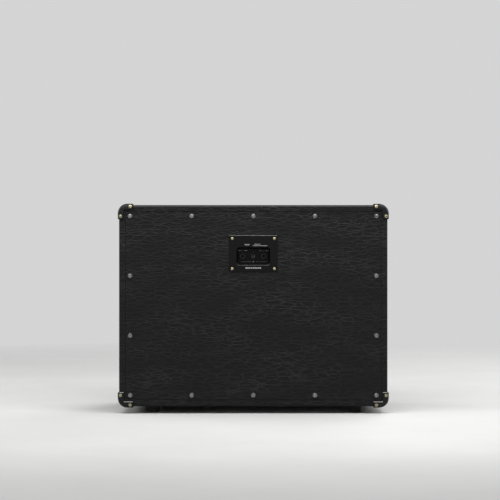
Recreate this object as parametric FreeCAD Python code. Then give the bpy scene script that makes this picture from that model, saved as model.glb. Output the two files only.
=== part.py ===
"""Closed-back guitar speaker cabinet with two twelve-inch drivers, in millimetres.

+X points to the right seen from the front, +Y towards the back panel and +Z up.
The origin is on the floor, under the middle of the cabinet.
Pieces on the back, and the drivers, are drawn in a rear frame: X to the right seen
from behind, Y up and Z backwards, out of the cabinet.
"""

import FreeCAD, Part
import math
import os
from collections import namedtuple

from FreeCAD import Placement, Rotation, Vector

# Cuts and fits
OVERRUN = 2.0
FIT = 0.1
GLUE_LINE = 0.1
RUNNING_GAP = 0.3

# Shell: four boards with their covering
CABINET_WIDTH = 680.0
CABINET_HEIGHT = 510.0
CABINET_DEPTH = 300.0
BOARD = 15.0
VINYL = 0.8
CORNER_RADIUS = 21.0
RIM_ROUND = 6.0
FINGER_WIDTH = 23.077
BATTEN = 20.0

# Back panel
BACK_INSET = 1.0
BACK_BOARD = 15.0
PANEL_GAP = 0.4
PANEL_ROUND = 2.0
PANEL_SCREW_MARGIN = 11.0
PANEL_SCREWS_ACROSS = 5
PANEL_SCREWS_DOWN = 4
PANEL_SCREW_HEAD = 4.3
PANEL_SCREW_RISE = 1.1
PANEL_SCREW_SINK = 2.2
PANEL_SCREW_SHANK = 2.1
PANEL_SCREW_LENGTH = 32.0
WASHER_RADIUS = 6.6
WASHER_LIP = 0.7
WASHER_HEIGHT = 2.5

# Baffle, its cloth and piping
FRONT_RECESS = 12.0
CLOTH = 1.0
BAFFLE = 18.0
BAFFLE_GAP = 1.5
PIPING_RADIUS = 2.5
PIPING_BEND = 8.0
BAFFLE_SCREW_HEAD = 4.0
BAFFLE_SCREW_RISE = 2.4
BAFFLE_SCREW_SHANK = 2.0
BAFFLE_SCREW_GRIP = 12.0
BAFFLE_SCREW_PITCH = 160.0
BAFFLE_SCREWS_ACROSS = 4

# Post between baffle and back panel
POST = 40.0
POST_DROP = 112.0

# Feet
FOOT_HEIGHT = 18.0
FOOT_TOP_RADIUS = 19.5
FOOT_BASE_RADIUS = 17.0
FOOT_EDGE_ROUND = 2.5
FOOT_WELL_ROOM = 1.0
FOOT_WELL_DEPTH = 9.0
FOOT_INSET_X = 82.0
FOOT_INSET_Y = 52.0
FOOT_WASHER_RADIUS = 7.5
FOOT_WASHER = 1.5
FOOT_SCREW_HEAD = 5.0
FOOT_SCREW_RISE = 3.0
FOOT_SCREW_SHANK = 2.5
FOOT_SCREW_GRIP = 12.0

# Corner protectors: three legs that lap the edges, measured from their own outer faces
CORNER_SKIN = 3.5
CORNER_LEG = 40.0
CORNER_FLANGE = 16.5
CORNER_WEB = 22.0
CORNER_EDGE_ROUND = 3.0
CORNER_SCREW_FROM_END = 8.0
CORNER_SCREW_INSET = 7.1
CORNER_SCREW_SEAT = 0.6
CORNER_SCREW_HEAD = 4.1
CORNER_SCREW_RISE = 1.1
CORNER_SCREW_SINK = 1.9
CORNER_SCREW_SHANK = 1.75
CORNER_SCREW_LENGTH = 15.0

# Side handles: a cup with a grip across it
HANDLE_LENGTH = 118.0
HANDLE_HEIGHT = 78.0
HANDLE_DEPTH = 40.0
HANDLE_CORNER = 14.0
HANDLE_TAPER = 6.0
HANDLE_WALL = 2.5
HANDLE_FLANGE = 14.0
HANDLE_FLANGE_THICKNESS = 2.6
HANDLE_FLANGE_ROUND = 1.6
HANDLE_LIP = 1.2
HANDLE_RISE = 30.0
GRIP_HEIGHT = 22.0
GRIP_THICKNESS = 17.0
GRIP_ROUND = 6.0
GRIP_RISE = 17.0
HANDLE_CLEARANCE = 1.0
HANDLE_SCREW_INSET = 9.0
HANDLE_SCREW_HEAD = 3.8
HANDLE_SCREW_RISE = 0.9
HANDLE_SCREW_SINK = 1.8
HANDLE_SCREW_SHANK = 1.9
HANDLE_SCREW_LENGTH = 15.0

# Jack plate: a pressed plate with a pan for the sockets
PLATE_SIDE = 19.0
PLATE_END = 23.75
PLATE = 1.5
PLATE_CORNER = 3.0
PLATE_EDGE_ROUND = 0.9
PLATE_DROP = 123.25
PLATE_SCREW_INSET = 8.0
PLATE_SCREW_HEAD = 3.9
PLATE_SCREW_RISE = 2.2
PLATE_SCREW_SHANK = 1.8
PLATE_SCREW_LENGTH = 13.0
PAN_HEIGHT = 45.0
PAN_DEPTH = 26.0
PAN_CORNER = 7.0
PAN_TAPER = 4.0
PAN_LIP = 1.4
PAN_DROP = 6.5
PAN_CLEARANCE = 1.0

# Jacks
JACK_SPACING = 54.0
JACK_MARGIN = 15.5
JACK_WIDTH = 20.0
JACK_LENGTH = 27.0
JACK_BORE = 3.3
JACK_BUSH = 4.7
JACK_BUSH_PROUD = 2.0
JACK_NUT_ACROSS = 14.0
JACK_NUT = 3.0
JACK_NUT_BEVEL = 0.7
JACK_NOSE = 8.0
JACK_END_WALL = 3.0
JACK_CHAMBER_WIDTH = 9.0
JACK_CHAMBER_FLOOR = 4.2
TIP_SPRING_WIDTH = 4.0
TIP_SPRING = 0.5
TIP_SPRING_ROOT = 7.0
TIP_SPRING_CONTACT = 2.5
TIP_SPRING_TOE = 4.6
TIP_SPRING_REACH = 9.0
TIP_SPRING_TOE_REACH = 12.5
TIP_SPRING_BEAD = 0.9
LUG_WIDTH = 3.0
LUG = 0.8
LUG_LENGTH = 8.0
LUG_SPACING = 11.0

# Switch between the jacks
SWITCH_WIDTH = 13.0
SWITCH_HEIGHT = 26.0
SWITCH_DEPTH = 9.0
SWITCH_WALL = 3.0
SLIDER_WIDTH = 4.4
SLIDER_HEIGHT = 6.0
SLIDER_PROUD = 3.5
SLIDER_TRAVEL = 4.0
SLIDER_GROOVE = 0.6
SLIDER_GROOVES = 3
SWITCH_SCREW_SPREAD = 9.5
SWITCH_SCREW_HEAD = 2.2
SWITCH_SCREW_RISE = 1.3
SWITCH_SCREW_SHANK = 1.2
SWITCH_SCREW_LENGTH = 6.0

# Drivers: radii and depths behind the baffle
DRIVER_SIDE_GAP = 12.7
DRIVER_MIDDLE_GAP = 5.0
DRIVER_FLANGE = 13.0
CUTOUT_CLEARANCE = 1.5
GASKET = 3.0
SHEET = 1.6
SURROUND_SEAT_DEPTH = 6.0
SURROUND_SEAT_WIDTH = 11.4
SPIDER_SEAT_DEPTH = 67.0
SPIDER_SEAT_RADIUS = 78.0
SPIDER_SEAT_WIDTH = 14.0
BASKET_CUP_DEPTH = 14.0
BASKET_CUP_TAPER = 4.0
BASKET_BORE = 30.0
WINDOW_COUNT = 6
WINDOW_SHARE = 0.66
WINDOW_START_SHARE = 0.16
WINDOW_END_SHARE = 0.86
BOLT_INSET = 6.0
BOLT_COUNT = 4
BOLT_SHANK = 2.5
BOLT_HEAD = 4.6
BOLT_HEAD_HEIGHT = 3.5
BOLT_CLEARANCE = 0.4
TEE_NUT_RADIUS = 9.0
TEE_NUT_FLANGE = 1.5
TEE_NUT_BARREL = 3.6
TEE_NUT_LENGTH = 13.0

# Driver motor
TOP_PLATE = 8.0
TOP_PLATE_RADIUS = 65.0
MAGNET = 20.0
MAGNET_RADIUS = 78.0
MAGNET_BORE = 45.0
YOKE = 8.0
YOKE_RADIUS = 72.0
POLE_RADIUS = 21.2
POLE_VENT = 8.0
COIL_GAP = 0.7
FORMER = 0.4
WINDING = 0.6
WINDING_LENGTH = 11.0
FORMER_TAIL = 2.0

# Driver's moving paper and cloth
SURROUND_SPAN = 9.0
CONE_RIM = 5.0
CONE_PAPER = 1.2
CONE_BOW = 5.0
CONE_NECK = 4.0
CONE_COLLAR = 1.0
CONE_TO_SPIDER = 2.0
DUST_CAP_RADIUS = 35.0
DUST_CAP_RISE = 12.0
DUST_CAP = 0.8
SURROUND = 0.8
SURROUND_ROLL = 1.8
SURROUND_ROLLS = 2
SPIDER = 0.7
SPIDER_ROLL = 1.4
SPIDER_ROLLS = 7
SPIDER_COLLAR = 2.0

# Terminal strip and wires
TERMINAL_LENGTH = 26.0
TERMINAL_WIDTH = 20.0
TERMINAL = 2.0
TAG_SPACING = 10.0
TERMINAL_TURN_SHARE = 0.125
WIRE_RADIUS = 1.3
WIRE_LEAD = 40.0
WIRE_SAG = 26.0
WIRE_ARC_SHARE = 0.45

# Directions
FULL_TURN = 360.0
ORIGIN = Vector(0, 0, 0)
X = Vector(1, 0, 0)
Y = Vector(0, 1, 0)
Z = Vector(0, 0, 1)

# Places that follow from the sizes above
HALF_WIDTH = CABINET_WIDTH / 2
HALF_DEPTH = CABINET_DEPTH / 2
BASE = FOOT_HEIGHT
TOP = BASE + CABINET_HEIGHT
MIDDLE = (BASE + TOP) / 2
WALL = VINYL + BOARD
INNER_HALF_WIDTH = HALF_WIDTH - WALL
INNER_BASE = BASE + WALL
INNER_TOP = TOP - WALL
MOUTH_HALF_WIDTH = INNER_HALF_WIDTH - VINYL
MOUTH_BASE = INNER_BASE + VINYL
MOUTH_TOP = INNER_TOP - VINYL
BACK_FACE = HALF_DEPTH - BACK_INSET
BACK_BOARD_REAR = BACK_FACE - VINYL
BACK_BOARD_FRONT = BACK_BOARD_REAR - BACK_BOARD
CLOTH_FACE = FRONT_RECESS - HALF_DEPTH
BAFFLE_FRONT = CLOTH_FACE + CLOTH
BAFFLE_REAR = BAFFLE_FRONT + BAFFLE
PAN_WIDTH = JACK_SPACING + 2 * JACK_MARGIN
PLATE_WIDTH = PAN_WIDTH + 2 * PLATE_SIDE
PLATE_HEIGHT = PAN_HEIGHT + 2 * PLATE_END
PLATE_CENTRE = Vector(0, BACK_FACE, TOP - PLATE_DROP)
CORNER_VERTEX = Vector(HALF_WIDTH, HALF_DEPTH, TOP) + Vector(1, 1, 1) * CORNER_SKIN
HANDLE_CENTRE = Vector(HALF_WIDTH, 0, MIDDLE + HANDLE_RISE)
JACK_PLACES = {"left": JACK_SPACING / 2, "right": -JACK_SPACING / 2}
DRIVER_RADIUS = (INNER_HALF_WIDTH - DRIVER_SIDE_GAP - DRIVER_MIDDLE_GAP / 2) / 2
DRIVER_SPREAD = 2 * DRIVER_RADIUS + DRIVER_MIDDLE_GAP
DRIVER_PLACES = {"left": -DRIVER_SPREAD / 2, "right": DRIVER_SPREAD / 2}
BOLT_CIRCLE_RADIUS = DRIVER_RADIUS - BOLT_INSET
CUTOUT_RADIUS = DRIVER_RADIUS - DRIVER_FLANGE
RIM_RADIUS = CUTOUT_RADIUS - CUTOUT_CLEARANCE
SURROUND_SEAT_RADIUS = RIM_RADIUS - SHEET - SURROUND_SEAT_WIDTH
CONE_RADIUS = SURROUND_SEAT_RADIUS - SURROUND_SPAN
TERMINAL_ANGLE = FULL_TURN * TERMINAL_TURN_SHARE
TERMINAL_ANGLES = {"left": FULL_TURN / 2 - TERMINAL_ANGLE, "right": TERMINAL_ANGLE}

# A countersunk or pan-headed screw: its head's rim is at zero and it points down
Screw = namedtuple("Screw", "head rise sink shank length")
SCREW_TIP_SHARE = 2.2
CROSS_WIDTH_SHARE = 0.26
CROSS_LENGTH_SHARE = 1.15
CROSS_DEPTH_SHARE = 0.5

PANEL_SCREW = Screw(
    PANEL_SCREW_HEAD, PANEL_SCREW_RISE, PANEL_SCREW_SINK, PANEL_SCREW_SHANK, PANEL_SCREW_LENGTH
)
CORNER_SCREW = Screw(
    CORNER_SCREW_HEAD, CORNER_SCREW_RISE, CORNER_SCREW_SINK, CORNER_SCREW_SHANK, CORNER_SCREW_LENGTH
)
HANDLE_SCREW = Screw(
    HANDLE_SCREW_HEAD, HANDLE_SCREW_RISE, HANDLE_SCREW_SINK, HANDLE_SCREW_SHANK, HANDLE_SCREW_LENGTH
)
PLATE_SCREW = Screw(
    PLATE_SCREW_HEAD, PLATE_SCREW_RISE, 0, PLATE_SCREW_SHANK, PLATE_SCREW_LENGTH
)
SWITCH_SCREW = Screw(
    SWITCH_SCREW_HEAD, SWITCH_SCREW_RISE, 0, SWITCH_SCREW_SHANK, SWITCH_SCREW_LENGTH
)
BAFFLE_SCREW = Screw(
    BAFFLE_SCREW_HEAD, BAFFLE_SCREW_RISE, 0, BAFFLE_SCREW_SHANK, BATTEN + BAFFLE_SCREW_GRIP
)
FOOT_SCREW_UNDER_HEAD = FOOT_WELL_DEPTH - FOOT_WASHER
FOOT_SCREW = Screw(
    FOOT_SCREW_HEAD,
    FOOT_SCREW_RISE,
    0,
    FOOT_SCREW_SHANK,
    FOOT_HEIGHT - FOOT_SCREW_UNDER_HEAD + VINYL + FOOT_SCREW_GRIP,
)


# General shapes


def block(x_span, y_span, z_span):
    """A box between three pairs of limits."""
    low = Vector(x_span[0], y_span[0], z_span[0])
    size = Vector(x_span[1], y_span[1], z_span[1]) - low
    return Part.makeBox(size.x, size.y, size.z, low)


def rod(radius, start, end):
    """A cylinder between two points."""
    along = end - start
    return Part.makeCylinder(radius, along.Length, start, along)


def turned(points, angle=FULL_TURN):
    """A solid turned about Z from straight lines through (radius, height) points."""
    corners = [Vector(radius, 0, height) for radius, height in points]
    outline = Part.makePolygon(corners + corners[:1])
    return Part.Face(outline).revolve(ORIGIN, Z, angle)


def bowed_edge(start, end, bow):
    """A straight edge, or an arc that bows towards minus Z by the given amount."""
    if bow == 0:
        return Part.makeLine(start, end)
    crown = (start + end) * 0.5 - Z * bow
    return Part.Arc(start, crown, end).toShape()


def turned_ribbon(stations, thickness):
    """A thin turned sheet through (radius, depth, bow) stations, thickened along Z.

    A station's bow belongs to the stretch that leads to it.
    """
    front = [Vector(radius, 0, depth) for radius, depth, _ in stations]
    back = [point + Z * thickness for point in front]
    edges = []
    for side in (front, back):
        for i in range(1, len(side)):
            edges.append(bowed_edge(side[i - 1], side[i], stations[i][2]))
    edges.append(Part.makeLine(front[0], back[0]))
    edges.append(Part.makeLine(front[-1], back[-1]))
    outline = Part.Wire(Part.__sortEdges__(edges))
    return Part.Face(outline).revolve(ORIGIN, Z, FULL_TURN)


def rounded_rectangle(width, height, radius, level, centre_y=0):
    """A closed wire in a plane of constant Z."""
    half_x = width / 2
    half_y = height / 2
    corner = Part.makeBox(width, height, radius, Vector(-half_x, centre_y - half_y, level))
    uprights = [edge for edge in corner.Edges if edge.BoundBox.ZLength > radius / 2]
    rounded = corner.makeFillet(radius, uprights)
    return lowest_face(rounded).OuterWire


def lowest_face(shape):
    """The flat face that a shape stands on."""
    return min(shape.Faces, key=lambda face: face.BoundBox.ZMax)


def rounded_plate(width, height, radius, low, high, centre_y=0):
    """A flat plate with rounded corners."""
    outline = rounded_rectangle(width, height, radius, low, centre_y)
    return Part.Face(outline).extrude(Z * (high - low))


def tapered_pocket(width, height, radius, taper, mouth, floor, centre_y=0):
    """A rounded rectangular pocket that narrows from its mouth down to its floor."""
    upper = rounded_rectangle(width, height, radius, mouth, centre_y)
    lower = rounded_rectangle(
        width - 2 * taper, height - 2 * taper, radius - taper / 2, floor, centre_y
    )
    return Part.makeLoft([lower, upper], True, True)


def hexagon_radius(across_flats):
    """Radius of the circle through a hexagon's corners."""
    return across_flats / math.sqrt(3)


def hexagon(across_flats, low, high):
    """A hexagonal bar along Z."""
    radius = hexagon_radius(across_flats)
    corners = [Vector(radius, 0, low)]
    for i in range(6):
        turn = Rotation(Z, (i + 1) * FULL_TURN / 6)
        corners.append(turn.multVec(Vector(radius, 0, low)))
    return Part.Face(Part.makePolygon(corners)).extrude(Z * (high - low))


def set_in(shape, origin, across, up):
    """A copy of a locally drawn shape, with its X along 'across' and its Y along 'up'."""
    turn = Rotation(across, up, across.cross(up), "XYZ")
    copy = shape.copy()
    copy.Placement = Placement(origin, turn).multiply(copy.Placement)
    return copy


def set_rear(shape, origin):
    """A copy of a shape drawn in the rear frame, moved to its place in the cabinet."""
    return set_in(shape, origin, -X, Z)


def rear_point(origin, local):
    """A point of the rear frame in cabinet coordinates."""
    return origin + Vector(-local.x, local.z, local.y)


def stood(shape, foot, direction):
    """A copy of a shape drawn along Z, stood on a point and turned to a direction."""
    copy = shape.copy()
    copy.Placement = Placement(foot, Rotation(Z, direction)).multiply(copy.Placement)
    return copy


def turned_about_z(shape, angle):
    """A copy of a shape turned about the Z axis."""
    copy = shape.copy()
    copy.rotate(ORIGIN, Z, angle)
    return copy


def set_right(shape):
    """A copy of a shape drawn in the handle's frame, moved to the cabinet's right side."""
    return set_in(shape, HANDLE_CENTRE, Y, Z)


def mirrored_x(shape):
    """The same piece on the other side of the cabinet."""
    return shape.mirror(ORIGIN, X)


# Screws and their holes


def screw_body(screw):
    """One screw with a domed head and a crossed recess."""
    dome_radius = (screw.head**2 + screw.rise**2) / (2 * screw.rise)
    dome_centre = screw.rise - dome_radius
    half_angle = math.asin(screw.head / dome_radius) / 2
    crown = Vector(0, 0, screw.rise)
    shoulder = Vector(
        dome_radius * math.sin(half_angle), 0, dome_centre + dome_radius * math.cos(half_angle)
    )
    rim = Vector(screw.head, 0, 0)
    neck = Vector(screw.shank, 0, -screw.sink)
    point = Vector(0, 0, -screw.length)
    tip = Vector(screw.shank, 0, screw.shank * SCREW_TIP_SHARE - screw.length)
    edges = [Part.Arc(crown, shoulder, rim).toShape()]
    for start, end in ((rim, neck), (neck, tip), (tip, point), (point, crown)):
        edges.append(Part.makeLine(start, end))
    body = Part.Face(Part.Wire(edges)).revolve(ORIGIN, Z, FULL_TURN)
    half_width = screw.head * CROSS_WIDTH_SHARE / 2
    half_length = screw.head * CROSS_LENGTH_SHARE / 2
    low = screw.rise - screw.head * CROSS_DEPTH_SHARE
    arm = block(
        (-half_length, half_length), (-half_width, half_width), (low, screw.rise + OVERRUN)
    )
    return body.cut([arm, turned_about_z(arm, FULL_TURN / 4)])


def screw_hole(screw, room_above):
    """The cutter for a screw's hole: its outline with clearance, open above the head."""
    wide = screw.head + FIT
    narrow = screw.shank + FIT
    outline = [(0, room_above), (wide, room_above), (wide, 0)]
    outline += [(narrow, -screw.sink), (narrow, -screw.length - FIT), (0, -screw.length - FIT)]
    return turned(outline)


def shank_hole(screw, room_above):
    """The cutter for the shank alone, for a board under a pan-headed screw."""
    return rod(screw.shank + FIT, Z * room_above, Z * (-screw.length - FIT))


def at_seats(shape, seats):
    """Copies of one shape at (point, direction) seats."""
    return [stood(shape, point, direction) for point, direction in seats]


# Seats of the fasteners


def panel_screw_seats():
    """Seats round the back panel, on top of its washers."""
    margin = PANEL_GAP + PANEL_SCREW_MARGIN
    far_x = MOUTH_HALF_WIDTH - margin
    low = MOUTH_BASE + margin
    high = MOUTH_TOP - margin
    step_x = 2 * far_x / (PANEL_SCREWS_ACROSS - 1)
    step_z = (high - low) / (PANEL_SCREWS_DOWN - 1)
    places = []
    for i in range(PANEL_SCREWS_ACROSS):
        for k in range(PANEL_SCREWS_DOWN):
            on_side = i in (0, PANEL_SCREWS_ACROSS - 1)
            on_end = k in (0, PANEL_SCREWS_DOWN - 1)
            if on_side or on_end:
                places.append((i * step_x - far_x, low + k * step_z))
    level = BACK_FACE + WASHER_HEIGHT
    return [(Vector(x, level, z), Y) for x, z in places]


def corner_screw_seats():
    """Seats in the three legs of the rear, top, right corner protector."""
    ridge = RIM_ROUND + CORNER_SKIN
    lean = math.asin(max(ridge - CORNER_SCREW_INSET, 0) / ridge)
    along = CORNER_LEG - CORNER_SCREW_FROM_END - CORNER_SKIN
    top_way = Y * math.cos(lean) + Z * math.sin(lean)
    side_way = Y * math.cos(lean) + X * math.sin(lean)
    depth_way = (X + Z).normalize()
    rim_y = HALF_DEPTH - RIM_ROUND
    top_axis = Vector(HALF_WIDTH - along, rim_y, TOP - RIM_ROUND)
    side_axis = Vector(HALF_WIDTH - RIM_ROUND, rim_y, TOP - along)
    depth_axis = Vector(HALF_WIDTH - CORNER_RADIUS, HALF_DEPTH - along, TOP - CORNER_RADIUS)
    out = ridge - CORNER_SCREW_SEAT
    depth_out = CORNER_RADIUS + CORNER_SKIN - CORNER_SCREW_SEAT
    return [
        (top_axis + top_way * out, top_way),
        (side_axis + side_way * out, side_way),
        (depth_axis + depth_way * depth_out, depth_way),
    ]


def eight_corners(shapes):
    """Copies of the rear, top, right corner's shapes at all eight corners: rear ones first."""
    lower = [shape.mirror(Vector(0, 0, MIDDLE), Z) for shape in shapes]
    rear_right = shapes + lower
    rear = rear_right + [mirrored_x(shape) for shape in rear_right]
    front = [shape.mirror(ORIGIN, Y) for shape in rear]
    return rear, front


def foot_places():
    """Centres of the four feet on the floor."""
    far_x = HALF_WIDTH - FOOT_INSET_X
    far_y = HALF_DEPTH - FOOT_INSET_Y
    return [Vector(x, y, 0) for x in (-far_x, far_x) for y in (-far_y, far_y)]


def foot_screw_seats():
    return [(place + Z * FOOT_SCREW_UNDER_HEAD, -Z) for place in foot_places()]


def handle_screw_seats():
    """Seats at the corners of a handle's flange, in the handle's own frame."""
    far_x = HANDLE_LENGTH / 2 + HANDLE_FLANGE - HANDLE_SCREW_INSET
    far_y = HANDLE_HEIGHT / 2 + HANDLE_FLANGE - HANDLE_SCREW_INSET
    face = HANDLE_FLANGE_THICKNESS
    return [(Vector(x, y, face), Z) for x in (-far_x, far_x) for y in (-far_y, far_y)]


def plate_screw_seats():
    """Seats at the corners of the jack plate."""
    far_x = PLATE_WIDTH / 2 - PLATE_SCREW_INSET
    far_z = PLATE_HEIGHT / 2 - PLATE_SCREW_INSET
    out = PLATE_CENTRE + Y * PLATE
    return [(out + X * x + Z * z, Y) for x in (-far_x, far_x) for z in (-far_z, far_z)]


def switch_screw_seats():
    """Seats above and below the switch's slot, in the rear frame of the plate."""
    floor = PLATE - PAN_DEPTH
    spread = SWITCH_SCREW_SPREAD
    return [(Vector(0, y - PAN_DROP, floor), Z) for y in (-spread, spread)]


def baffle_screw_seats():
    """Seats on the rear of the top and bottom baffle battens."""
    first = -BAFFLE_SCREW_PITCH * (BAFFLE_SCREWS_ACROSS - 1) / 2
    columns = [first + i * BAFFLE_SCREW_PITCH for i in range(BAFFLE_SCREWS_ACROSS)]
    rows = (INNER_BASE + BATTEN / 2, INNER_TOP - BATTEN / 2)
    level = BAFFLE_REAR + BATTEN
    return [(Vector(x, level, z), Y) for x in columns for z in rows]


def driver_bolt_places():
    """Bolt centres round one driver, in its rear frame."""
    places = []
    for i in range(BOLT_COUNT):
        turn = Rotation(Z, (i + 0.5) * FULL_TURN / BOLT_COUNT)
        places.append(turn.multVec(X * BOLT_CIRCLE_RADIUS))
    return places


def driver_centres():
    """Middles of the two drivers on the rear face of the baffle."""
    return {side: Vector(x, BAFFLE_REAR, MIDDLE) for side, x in DRIVER_PLACES.items()}


# Shell


def rounded_case(grow):
    """The cabinet's outside as one block, grown outwards or shrunk inwards."""
    case = block(
        (-HALF_WIDTH - grow, HALF_WIDTH + grow),
        (-HALF_DEPTH - grow, HALF_DEPTH + grow),
        (BASE - grow, TOP + grow),
    )
    long_edges = [edge for edge in case.Edges if edge.BoundBox.YLength > HALF_DEPTH]
    case = case.makeFillet(CORNER_RADIUS + grow, long_edges)
    rims = [edge for edge in case.Edges if edge.BoundBox.YLength < HALF_DEPTH]
    return case.makeFillet(RIM_ROUND + grow, rims)


def tunnel(half_width, low, high, front=-HALF_DEPTH - OVERRUN, rear=HALF_DEPTH + OVERRUN):
    """A rectangular passage through the shell."""
    return block((-half_width, half_width), (front, rear), (low, high))


def inner_tunnel():
    return tunnel(INNER_HALF_WIDTH, INNER_BASE, INNER_TOP)


def handle_hole():
    """The hole for the right handle's cup, through the covering and the side board."""
    grow = 2 * (HANDLE_WALL + HANDLE_CLEARANCE)
    radius = HANDLE_CORNER + grow / 2
    hole = rounded_plate(
        HANDLE_LENGTH + grow, HANDLE_HEIGHT + grow, radius, -WALL - OVERRUN, OVERRUN
    )
    return set_right(hole)


def shell_fastener_holes():
    """Every hole that a fastener makes in the boards and their covering."""
    corner_hole = screw_hole(CORNER_SCREW, CORNER_SKIN)
    rear, front = eight_corners(at_seats(corner_hole, corner_screw_seats()))
    holes = at_seats(screw_hole(HANDLE_SCREW, OVERRUN), handle_screw_seats())
    handle = [set_right(hole) for hole in holes]
    feet = at_seats(shank_hole(FOOT_SCREW, 0), foot_screw_seats())
    return rear + front + handle + [mirrored_x(hole) for hole in handle] + feet


def finger_blocks(first, x_span, z_span):
    """Every other finger of a corner joint: equal from both ends, and the middle one takes the rest."""
    pairs = round((HALF_DEPTH - FINGER_WIDTH / 2) / FINGER_WIDTH)
    rear_half = [HALF_DEPTH - i * FINGER_WIDTH for i in range(pairs + 1)]
    bounds = [-y for y in rear_half] + rear_half[::-1]
    spans = list(zip(bounds, bounds[1:]))
    return [block(x_span, span, z_span) for span in spans[first::2]]


def shell_boards():
    """The four boards, finger-jointed where they meet."""
    shell = rounded_case(-VINYL).cut(inner_tunnel())
    shell = shell.cut(shell_fastener_holes() + [handle_hole()])
    depth = (-HALF_DEPTH, HALF_DEPTH)
    right = (INNER_HALF_WIDTH, HALF_WIDTH)
    left = (-HALF_WIDTH, -INNER_HALF_WIDTH)
    across = (-INNER_HALF_WIDTH, INNER_HALF_WIDTH)
    upright = (INNER_BASE, INNER_TOP)
    top = (INNER_TOP, TOP)
    bottom = (BASE, INNER_BASE)
    boards = {}
    for name, level in (("top_board", top), ("bottom_board", bottom)):
        fingers = finger_blocks(0, left, level) + finger_blocks(0, right, level)
        boards[name] = shell.common(block(across, depth, level).fuse(fingers))
    fingers = finger_blocks(1, right, top) + finger_blocks(1, right, bottom)
    side_board = shell.common(block(right, depth, upright).fuse(fingers))
    boards["right_side_board"] = side_board
    boards["left_side_board"] = mirrored_x(side_board)
    return boards


def cabinet_vinyl():
    """The covering: outside skin, rims, and turn-ins as deep as the two inset panels."""
    boards = rounded_case(-VINYL).cut(inner_tunnel())
    middle = tunnel(INNER_HALF_WIDTH, INNER_BASE, INNER_TOP, BAFFLE_REAR, BACK_BOARD_FRONT)
    mouth = tunnel(MOUTH_HALF_WIDTH, MOUTH_BASE, MOUTH_TOP)
    handle = handle_hole()
    holes = shell_fastener_holes() + [handle, mirrored_x(handle)]
    return rounded_case(0).cut([boards, middle, mouth] + holes)


def back_battens():
    """The frame of battens that the back panel is screwed to."""
    span_y = (BACK_BOARD_FRONT - BATTEN, BACK_BOARD_FRONT)
    across = (-INNER_HALF_WIDTH, INNER_HALF_WIDTH)
    upright = (INNER_BASE + BATTEN, INNER_TOP - BATTEN)
    frame = [
        block(across, span_y, (INNER_TOP - BATTEN, INNER_TOP)),
        block(across, span_y, (INNER_BASE, INNER_BASE + BATTEN)),
        block((INNER_HALF_WIDTH - BATTEN, INNER_HALF_WIDTH), span_y, upright),
        block((-INNER_HALF_WIDTH, BATTEN - INNER_HALF_WIDTH), span_y, upright),
    ]
    holes = at_seats(shank_hole(PANEL_SCREW, 0), panel_screw_seats())
    return [batten.cut(holes) for batten in frame]


def baffle_battens():
    """Battens behind the baffle: the upright ones stop short of the drivers' rims."""
    span_y = (BAFFLE_REAR, BAFFLE_REAR + BATTEN)
    across = (-INNER_HALF_WIDTH, INNER_HALF_WIDTH)
    reach = INNER_HALF_WIDTH - BATTEN - DRIVER_SPREAD / 2
    rim = DRIVER_RADIUS + BATTEN / 2
    gap = math.sqrt(max(rim**2 - reach**2, 0))
    spans_z = (
        (MIDDLE + gap, INNER_TOP - BATTEN),
        (INNER_BASE + BATTEN, MIDDLE - gap),
    )
    battens = [
        block(across, span_y, (INNER_TOP - BATTEN, INNER_TOP)),
        block(across, span_y, (INNER_BASE, INNER_BASE + BATTEN)),
    ]
    for span_z in spans_z:
        right = block((INNER_HALF_WIDTH - BATTEN, INNER_HALF_WIDTH), span_y, span_z)
        battens += [right, mirrored_x(right)]
    holes = at_seats(shank_hole(BAFFLE_SCREW, OVERRUN), baffle_screw_seats())
    return [batten.cut(holes) for batten in battens]


def centre_post():
    """The post that stiffens the back panel against the baffle, under the drivers' middles."""
    high = MIDDLE - POST_DROP + POST / 2
    return block((-POST / 2, POST / 2), (BAFFLE_REAR, BACK_BOARD_FRONT), (high - POST, high))


# Back panel


def panel_block(shrink, front):
    """The inset back panel with its rear edges eased."""
    margin = PANEL_GAP + shrink
    rear = BACK_FACE - shrink
    panel = tunnel(
        MOUTH_HALF_WIDTH - margin, MOUTH_BASE + margin, MOUTH_TOP - margin, front, rear
    )
    rims = [edge for edge in panel.Edges if edge.BoundBox.YMin > (front + rear) / 2]
    return panel.makeFillet(PANEL_ROUND - shrink, rims)


def panel_holes():
    """The holes through the back panel for its screws, the jack pan and the plate's screws."""
    grow = 2 * (PLATE + PAN_CLEARANCE)
    pan = rounded_plate(
        PAN_WIDTH + grow,
        PAN_HEIGHT + grow,
        PAN_CORNER + grow / 2,
        -VINYL - BACK_BOARD - OVERRUN,
        OVERRUN,
        -PAN_DROP,
    )
    holes = [set_rear(pan, PLATE_CENTRE)]
    holes += at_seats(shank_hole(PANEL_SCREW, 0), panel_screw_seats())
    holes += at_seats(shank_hole(PLATE_SCREW, 0), plate_screw_seats())
    return holes


def back_board():
    return panel_block(VINYL, BACK_BOARD_FRONT).cut(panel_holes())


def back_panel_vinyl():
    board = panel_block(VINYL, BACK_BOARD_FRONT - OVERRUN)
    return panel_block(0, BACK_BOARD_FRONT).cut([board] + panel_holes())


def panel_washer():
    """A finishing washer: a cup that the screw's head sits in."""
    wide = PANEL_SCREW_HEAD + FIT
    narrow = PANEL_SCREW_SHANK + FIT
    seat = WASHER_HEIGHT - PANEL_SCREW_SINK
    outline = [(narrow, 0), (WASHER_RADIUS, 0), (WASHER_RADIUS, WASHER_LIP)]
    outline += [(wide + WASHER_LIP, WASHER_HEIGHT), (wide, WASHER_HEIGHT), (narrow, seat)]
    return turned(outline)


def panel_washer_seats():
    return [(point - Y * WASHER_HEIGHT, way) for point, way in panel_screw_seats()]


# Baffle, cloth and piping


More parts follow.
